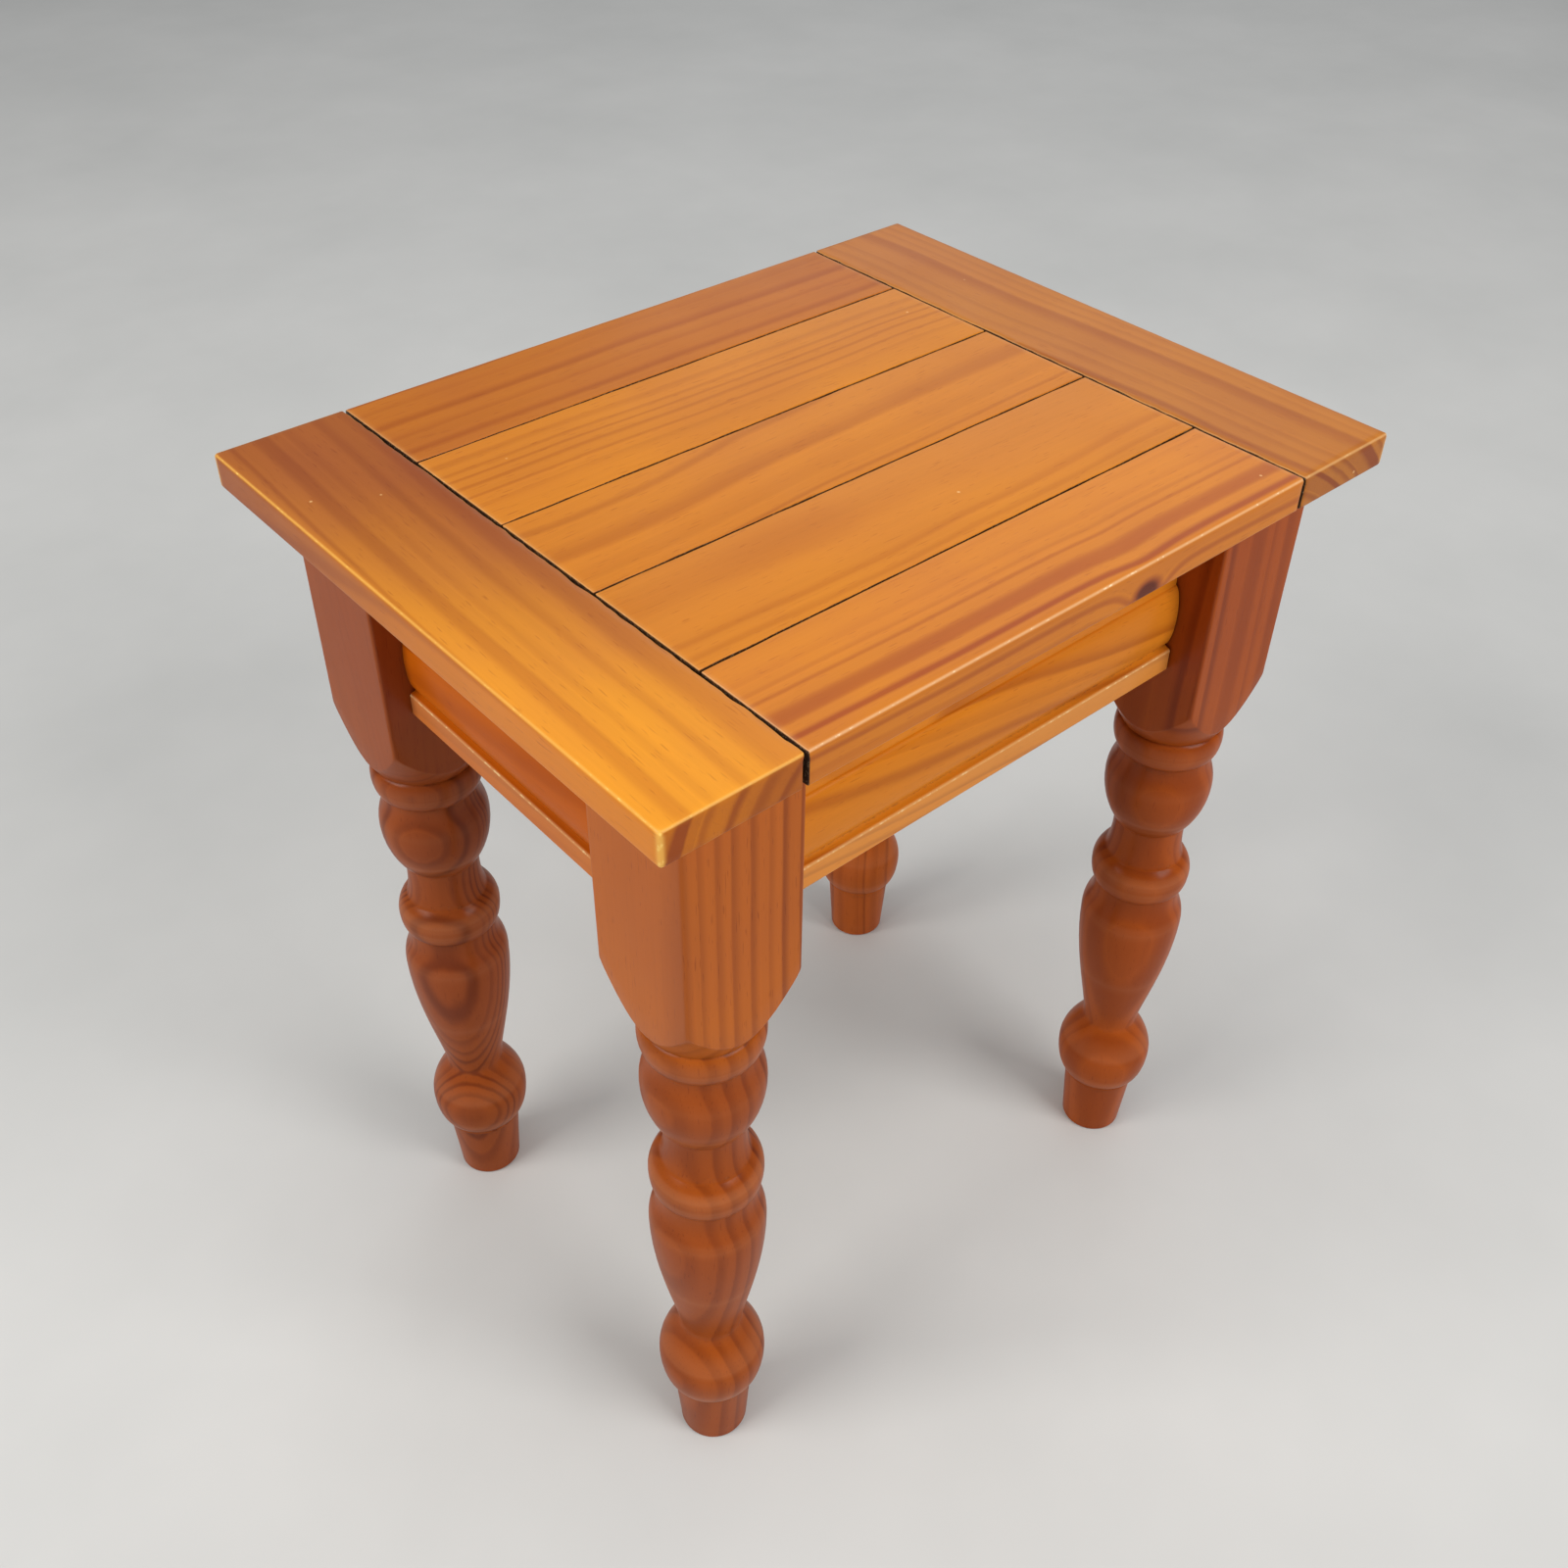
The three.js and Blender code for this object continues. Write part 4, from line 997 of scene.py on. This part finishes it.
def make_leg(side, end):
    node = f"leg_{end}_{side}"
    low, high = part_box(node)
    centre = Vector(((low.x + high.x) / 2, (low.y + high.y) / 2, 0))
    angles = leg_angles()
    rings = leg_rings(angles, high.z / MM)
    count = len(angles)
    verts = [(r * math.cos(a) * MM, r * math.sin(a) * MM, z * MM) for ring in rings for a, r, z in ring]
    faces = [tuple(reversed(range(count)))]
    for s in range(len(rings) - 1):
        for i in range(count):
            j = (i + 1) % count
            base, top = s * count, (s + 1) * count
            faces.append((base + i, base + j, top + j, top + i))
    faces.append(tuple((len(rings) - 1) * count + i for i in range(count)))
    obj = new_object(f"{node}_turning", verts, faces)
    carve(obj, [(a - centre, b - centre) for a, b in mortises(side, end)])
    smooth(obj, 32)

    hollows = [(p.y * MM, hollow_depth(i)) for i, p in enumerate(LEG_PROFILE)]

    def nearest(z):
        return min(hollows, key=lambda each: abs(each[0] - z))[1]

    turning_top = LEG_PROFILE[-1].y * MM
    edge = (BLOCK_HALF - 0.5) * MM

    def wear_and_highlight(co):
        # The turning's crests get wear and a painted highlight; the block's corners a little wear.
        if co.z < turning_top:
            return CREST_WEAR_AND_HIGHLIGHT * clamp(-nearest(co.z) / CREST_HEIGHT)
        corner = fade(edge - abs(co.x), BLOCK_CORNER * MM) * fade(edge - abs(co.y), BLOCK_CORNER * MM)
        return ARRIS_WEAR * corner

    # Dirt and painted shade in the coves of the turning.
    def dirt_and_shade(co):
        turned = co.z < turning_top + 1.5 * MM
        return COVE_DIRT_AND_SHADE * clamp(nearest(co.z) / COVE_DEPTH) if turned else 0

    paint_wear_dirt_and_light(obj, wear_and_highlight, dirt_and_shade)
    obj.location = centre
    look = pine(f"{node}_pine", grain="Z", gloss=0.34, lacquer=0.2, shine=0.03, worn_and_highlight=LEG_WEAR_AND_HIGHLIGHT,
                **LEG_LOOKS[f"{end}_{side}"])
    finish_piece(obj, node, "table", look)


def hollow_depth(index):
    """How far the turning lies below its neighbourhood there, in mm; below zero on a crest."""
    here = LEG_PROFILE[index]
    near = [p for p in LEG_PROFILE if abs(p.y - here.y) < NEARBY]
    return sum(p.x for p in near) / len(near) - here.x


TENON_LENGTH = 20 * MM
TENON_OVERLAP = 1 * MM  # of a tenon and its own apron, so that they join
TENON_SLACK = 0.3 * MM


def mortises(side, end):
    """The pockets in a leg, each a little larger than the tenon that sits in it."""
    long_pieces = ["apron_back"] if end == "back" else ["front_top_rail", "front_bottom_rail"]
    pockets = [tenon_box(node, 0, SIDES[side]) for node in long_pieces]
    pockets.append(tenon_box(f"apron_{side}", 1, ENDS[end]))
    slack = Vector((TENON_SLACK,) * 3)
    return [(a - slack, b + slack) for a, b in pockets]


def tenon_box(node, axis, sign):
    """The tenon at one end of an apron or rail, along X (0) or Y (1), as its two corners."""
    verts = [v.co for v in frame["nodes"][node].data.vertices]
    far = max(sign * v[axis] for v in verts)
    tip = [v for v in verts if sign * v[axis] > far - TENON_OVERLAP]
    low = Vector([min(v[i] for v in tip) for i in range(3)])
    high = Vector([max(v[i] for v in tip) for i in range(3)])
    root = far - TENON_LENGTH - TENON_OVERLAP
    if sign > 0:
        low[axis] = root
    else:
        high[axis] = -root
    return low, high


# ---- Aprons and the drawer front ----

APRON_THICKNESS = 20
FASCIA_THICKNESS = 15.8
BEAD_HEIGHT = 13.5
SWELL_HEIGHT = 37
SWELL_STEPS = 18
SWELL_START = math.radians(-66)  # the swell's foot is a crisp corner above the quirk
QUIRK_RISE = 2.4


def moulding(height, groove=()):
    """The moulded section in mm, x outward from the back face: bead, quirk, swell and fascia."""
    quirk = BEAD_HEIGHT + QUIRK_RISE
    swell_depth = APRON_THICKNESS - FASCIA_THICKNESS + 0.2
    swell_middle = quirk + SWELL_HEIGHT / 2
    bead = outline([
        (0, 0, 0),
        (APRON_THICKNESS, 0, 2),
        (APRON_THICKNESS, BEAD_HEIGHT + 0.5, 1.4),
        (FASCIA_THICKNESS + 1, BEAD_HEIGHT + 1.3, 0),
    ], 1.5)
    swell = []
    for k in range(SWELL_STEPS + 1):
        turn = lerp(SWELL_START, HALF_PI, k / SWELL_STEPS)
        x = FASCIA_THICKNESS + swell_depth * math.cos(turn)
        swell.append(Vector((x, swell_middle + SWELL_HEIGHT / 2 * math.sin(turn))))
    return [
        *bead,
        Vector((FASCIA_THICKNESS, quirk)),
        *swell,
        Vector((FASCIA_THICKNESS, height - 1)),
        Vector((FASCIA_THICKNESS - 1, height)),
        Vector((0, height)),
        *groove,
    ]


def moulding_paint(obj, bottom, outward_axis, face):
    """Wear and a painted highlight on the bead, most on its upper edge, and a darker strip in the quirk
    above it.
    """
    bead_top = bottom + BEAD_HEIGHT * MM
    quirk = bead_top + QUIRK_RISE * MM

    def wear_and_highlight(co):
        depth = abs(face - co[outward_axis])
        # The bead's face and upper edge are lightened: wear, and also a painted highlight.
        bead = 0.55 * fade(depth, 3 * MM) if co.z < bead_top else 0
        return max(1.1 * fade(math.hypot(depth, co.z - bead_top), 2 * MM), bead)

    # Darker in the quirk above the bead.
    def dirt_and_shade(co):
        depth = abs(face - co[outward_axis]) - (APRON_THICKNESS - FASCIA_THICKNESS) * MM
        return 0.5 * fade(math.hypot(depth, co.z - quirk), 2.2 * MM)

    paint_wear_dirt_and_light(obj, wear_and_highlight, dirt_and_shade)


APRON_LOOKS = {
    "apron_left": dict(early=srgb(191, 94, 11), late=srgb(150, 62, 10), pith=(-120, 470), ring=7,
                       tilt=(2.4, 1.2), strength=0.45, wander=6, soft=0.4, seed=21.0),
    "apron_right": dict(early=srgb(194, 106, 26), late=srgb(148, 66, 16), pith=(120, 470), ring=7,
                        tilt=(-2.6, 1.2), strength=0.5, wander=6, soft=0.4, seed=22.0),
    "apron_back": dict(early=srgb(196, 108, 26), late=srgb(150, 68, 16), pith=(96, 470), ring=7,
                       tilt=(2.8, -1.4), strength=0.5, wander=6, soft=0.4, seed=23.0),
    "drawer_front": dict(early=srgb(212, 128, 30), late=srgb(160, 78, 18), pith=(-92, 466), ring=9.5,
                         tilt=(3.4, 2.4), strength=0.6, wander=5, soft=0.5, seed=24.6),
}


def make_apron(node, axis, sign):
    """A moulded apron facing along X (0) or Y (1), with a tenon at each end."""
    low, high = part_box(node)
    along_axis = 1 - axis
    face = high[axis] if sign > 0 else low[axis]
    back = face - sign * APRON_THICKNESS * MM
    tenons = [tenon_box(node, along_axis, end) for end in (-1, 1)]
    length = 2 * (high[along_axis] - TENON_LENGTH + TENON_SLACK)
    section = [p * MM for p in moulding((high.z - low.z) / MM)]

    def place(along, x, y):
        spot = [0, 0, low.z + y]
        spot[axis] = back + sign * x
        spot[along_axis] = along
        return spot

    obj = swept(f"{node}_moulding", section, length, place, end_round=0.3 * MM, step=24 * MM)
    carve(obj, tenons, "UNION")
    smooth(obj, 34)
    moulding_paint(obj, low.z, axis, face)
    look = pine(f"{node}_pine", grain="XY"[along_axis], lacquer=0.06, shine=0.03, **APRON_LOOKS[node])
    finish_piece(obj, node, "table", look)


def make_drawer_front():
    node = "drawer_front"
    low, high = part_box(node)
    panel_low, panel_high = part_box("drawer_bottom")
    gap, depth = 0.3, 6  # the groove's play each side of the bottom, and its depth, in mm
    panel = [(panel_low.z - low.z) / MM - gap, (panel_high.z - low.z) / MM + gap]
    corners = [(0, panel[1]), (depth, panel[1]), (depth, panel[0]), (0, panel[0])]
    groove = [Vector(corner) for corner in corners]
    section = [p * MM for p in moulding((high.z - low.z) / MM, groove)]
    back = low.y + APRON_THICKNESS * MM

    def place(along, x, y):
        return (along, back - x, low.z + y)

    obj = swept(f"{node}_moulding", section, high.x - low.x, place, end_round=0.7 * MM, step=20 * MM)
    smooth(obj, 34)
    moulding_paint(obj, low.z, 1, low.y)
    look = pine(f"{node}_pine", grain="X", lacquer=0.1, shine=0.06, **APRON_LOOKS[node])
    finish_piece(obj, node, "drawer", look)


# ---- The frame, the drawer box and the fixings ----

RAW_PINE = (srgb(222, 184, 130), srgb(186, 132, 78))
BOX_PINE = (srgb(230, 194, 142), srgb(198, 146, 92))
BEECH = (srgb(214, 172, 128), srgb(186, 136, 92))
TIMBER_EDGE = 0.5 * MM
FIXING_EDGE = 0.2 * MM


def dress_node(node, material, edge):
    """Gives a CAD solid its material and breaks its sharp edges."""
    obj = frame["nodes"][node]
    weld = obj.modifiers.new("weld", "WELD")
    weld.merge_threshold = 0.01 * MM
    bevel = obj.modifiers.new("broken_edges", "BEVEL")
    bevel.width = edge
    bevel.segments = 2
    bevel.limit_method = "ANGLE"
    bevel.angle_limit = math.radians(40)
    obj.data.materials.clear()
    obj.data.materials.append(material)


def dress_frame():
    frame_x = plain_wood("frame_pine_rails", RAW_PINE, "X", 41.0, pith=(-60, 380))
    frame_y = plain_wood("frame_pine_runners", RAW_PINE, "Y", 42.0, pith=(90, 380))
    box_x = plain_wood("drawer_pine_back", BOX_PINE, "X", 43.0, pith=(140, 420))
    box_y = plain_wood("drawer_pine_sides", BOX_PINE, "Y", 44.0, pith=(60, 400))
    beech_x = plain_wood("beech_top_dowels", BEECH, "X", 45.0, ring=2.5)
    beech_y = plain_wood("beech_drawer_dowels", BEECH, "Y", 46.0, ring=2.5)
    beech_z = plain_wood("beech_leg_dowels", BEECH, "Z", 47.0, ring=2.5)
    steel = zinc("zinc_fixings")
    by_prefix = {
        "front_top_rail": frame_x,
        "front_bottom_rail": frame_x,
        "top_batten": frame_y,
        "drawer_runner": frame_y,
        "drawer_guide": frame_y,
        "drawer_stop": frame_y,
        "drawer_side": box_y,
        "drawer_back": box_x,
        "drawer_bottom_nail": steel,
        "drawer_bottom": plywood("drawer_plywood_sheet"),
        "top_dowel": beech_x,
        "leg_dowel": beech_z,
        "drawer_dowel": beech_y,
        "batten_screw": steel,
        "runner_screw": steel,
    }
    for node in frame["nodes"]:
        fits = [prefix for prefix in by_prefix if node.startswith(prefix)]
        if fits:
            fixing = "screw" in node or "nail" in node or "dowel" in node
            edge = FIXING_EDGE if fixing else TIMBER_EDGE
            dress_node(node, by_prefix[max(fits, key=len)], edge)


# ---- Floor, light and camera ----


def make_floor():
    half = 8.0
    corners = [(-half, -half, 0), (half, -half, 0), (half, half, 0), (-half, half, 0)]
    floor = new_object("floor", corners, [(0, 1, 2, 3)])
    material, n, shader = new_shader("pale_floor")
    mottle = n.noise(n.add("ShaderNodeTexCoord").outputs["Object"], 3.0, 4.0, 0.6)
    colour = n.blend(mottle, srgb(192, 193, 192), srgb(212, 212, 211))
    n.fill(shader, {"Base Color": colour, "Roughness": 0.8})
    floor.data.materials.append(material)


def area_light(name, at, towards, size, power, colour=(1, 1, 1)):
    data = bpy.data.lights.new(name, "AREA")
    data.shape = "RECTANGLE"
    data.size, data.size_y = size
    data.energy = power
    data.color = colour
    light = link(bpy.data.objects.new(name, data))
    light.location = at
    aim = Vector(towards) - Vector(at)
    light.rotation_euler = aim.to_track_quat("-Z", "Y").to_euler()


def make_light():
    area_light("left_softbox", (-3.0, 0.6, 2.4), (0, 0, 0.3), (2.0, 1.8), 82, (1.0, 0.98, 0.94))
    area_light("front_softbox", (0.7, -3.0, 2.4), (0, 0, 0.3), (2.0, 1.8), 84, (1.0, 0.98, 0.95))
    area_light("top_softbox", (-0.4, -0.5, 5.4), (-0.1, -0.1, 0), (3.0, 3.0), 88, (1.0, 0.99, 0.97))
    area_light("sheen_panel", (2.9, 2.3, 2.2), (0.2, 0, 0.5), (2.4, 1.6), 11, (0.98, 0.99, 1.0))
    world = bpy.data.worlds.new("studio")
    world.use_nodes = True
    background = world.node_tree.nodes["Background"]
    background.inputs["Color"].default_value = (0.82, 0.85, 0.88, 1)
    background.inputs["Strength"].default_value = 0.26
    bpy.context.scene.world = world


CAMERA_PLACE = (-0.4726, -0.5202, 0.9263)
CAMERA_AZIMUTH = 41.314  # degrees that the view turns from +Y towards +X
CAMERA_DOWN = 38.909  # degrees below the horizon
CAMERA_ROLL = 0.795
LENS = 37.04
FRAME_RISE = -0.0355  # share of the frame that the picture is shifted


def make_camera():
    data = bpy.data.cameras.new("camera")
    data.sensor_width = 36
    data.lens = LENS
    data.shift_y = FRAME_RISE
    data.clip_start = 0.02
    camera = link(bpy.data.objects.new("camera", data))
    turn = Matrix.Rotation(math.radians(-CAMERA_AZIMUTH), 4, "Z")
    tip = Matrix.Rotation(math.radians(90 - CAMERA_DOWN), 4, "X")
    roll = Matrix.Rotation(math.radians(CAMERA_ROLL), 4, "Z")
    camera.matrix_world = Matrix.Translation(CAMERA_PLACE) @ turn @ tip @ roll
    bpy.context.scene.camera = camera
    bpy.context.scene.view_settings.view_transform = "Standard"


# ---- The table ----

for number in range(1, PLANK_COUNT + 1):
    make_plank(number)
for side in SIDES:
    make_breadboard(side)
    for end in ENDS:
        make_leg(side, end)
make_apron("apron_left", 0, -1)
make_apron("apron_right", 0, 1)
make_apron("apron_back", 1, 1)
make_drawer_front()
dress_frame()
make_floor()
make_light()
make_camera()
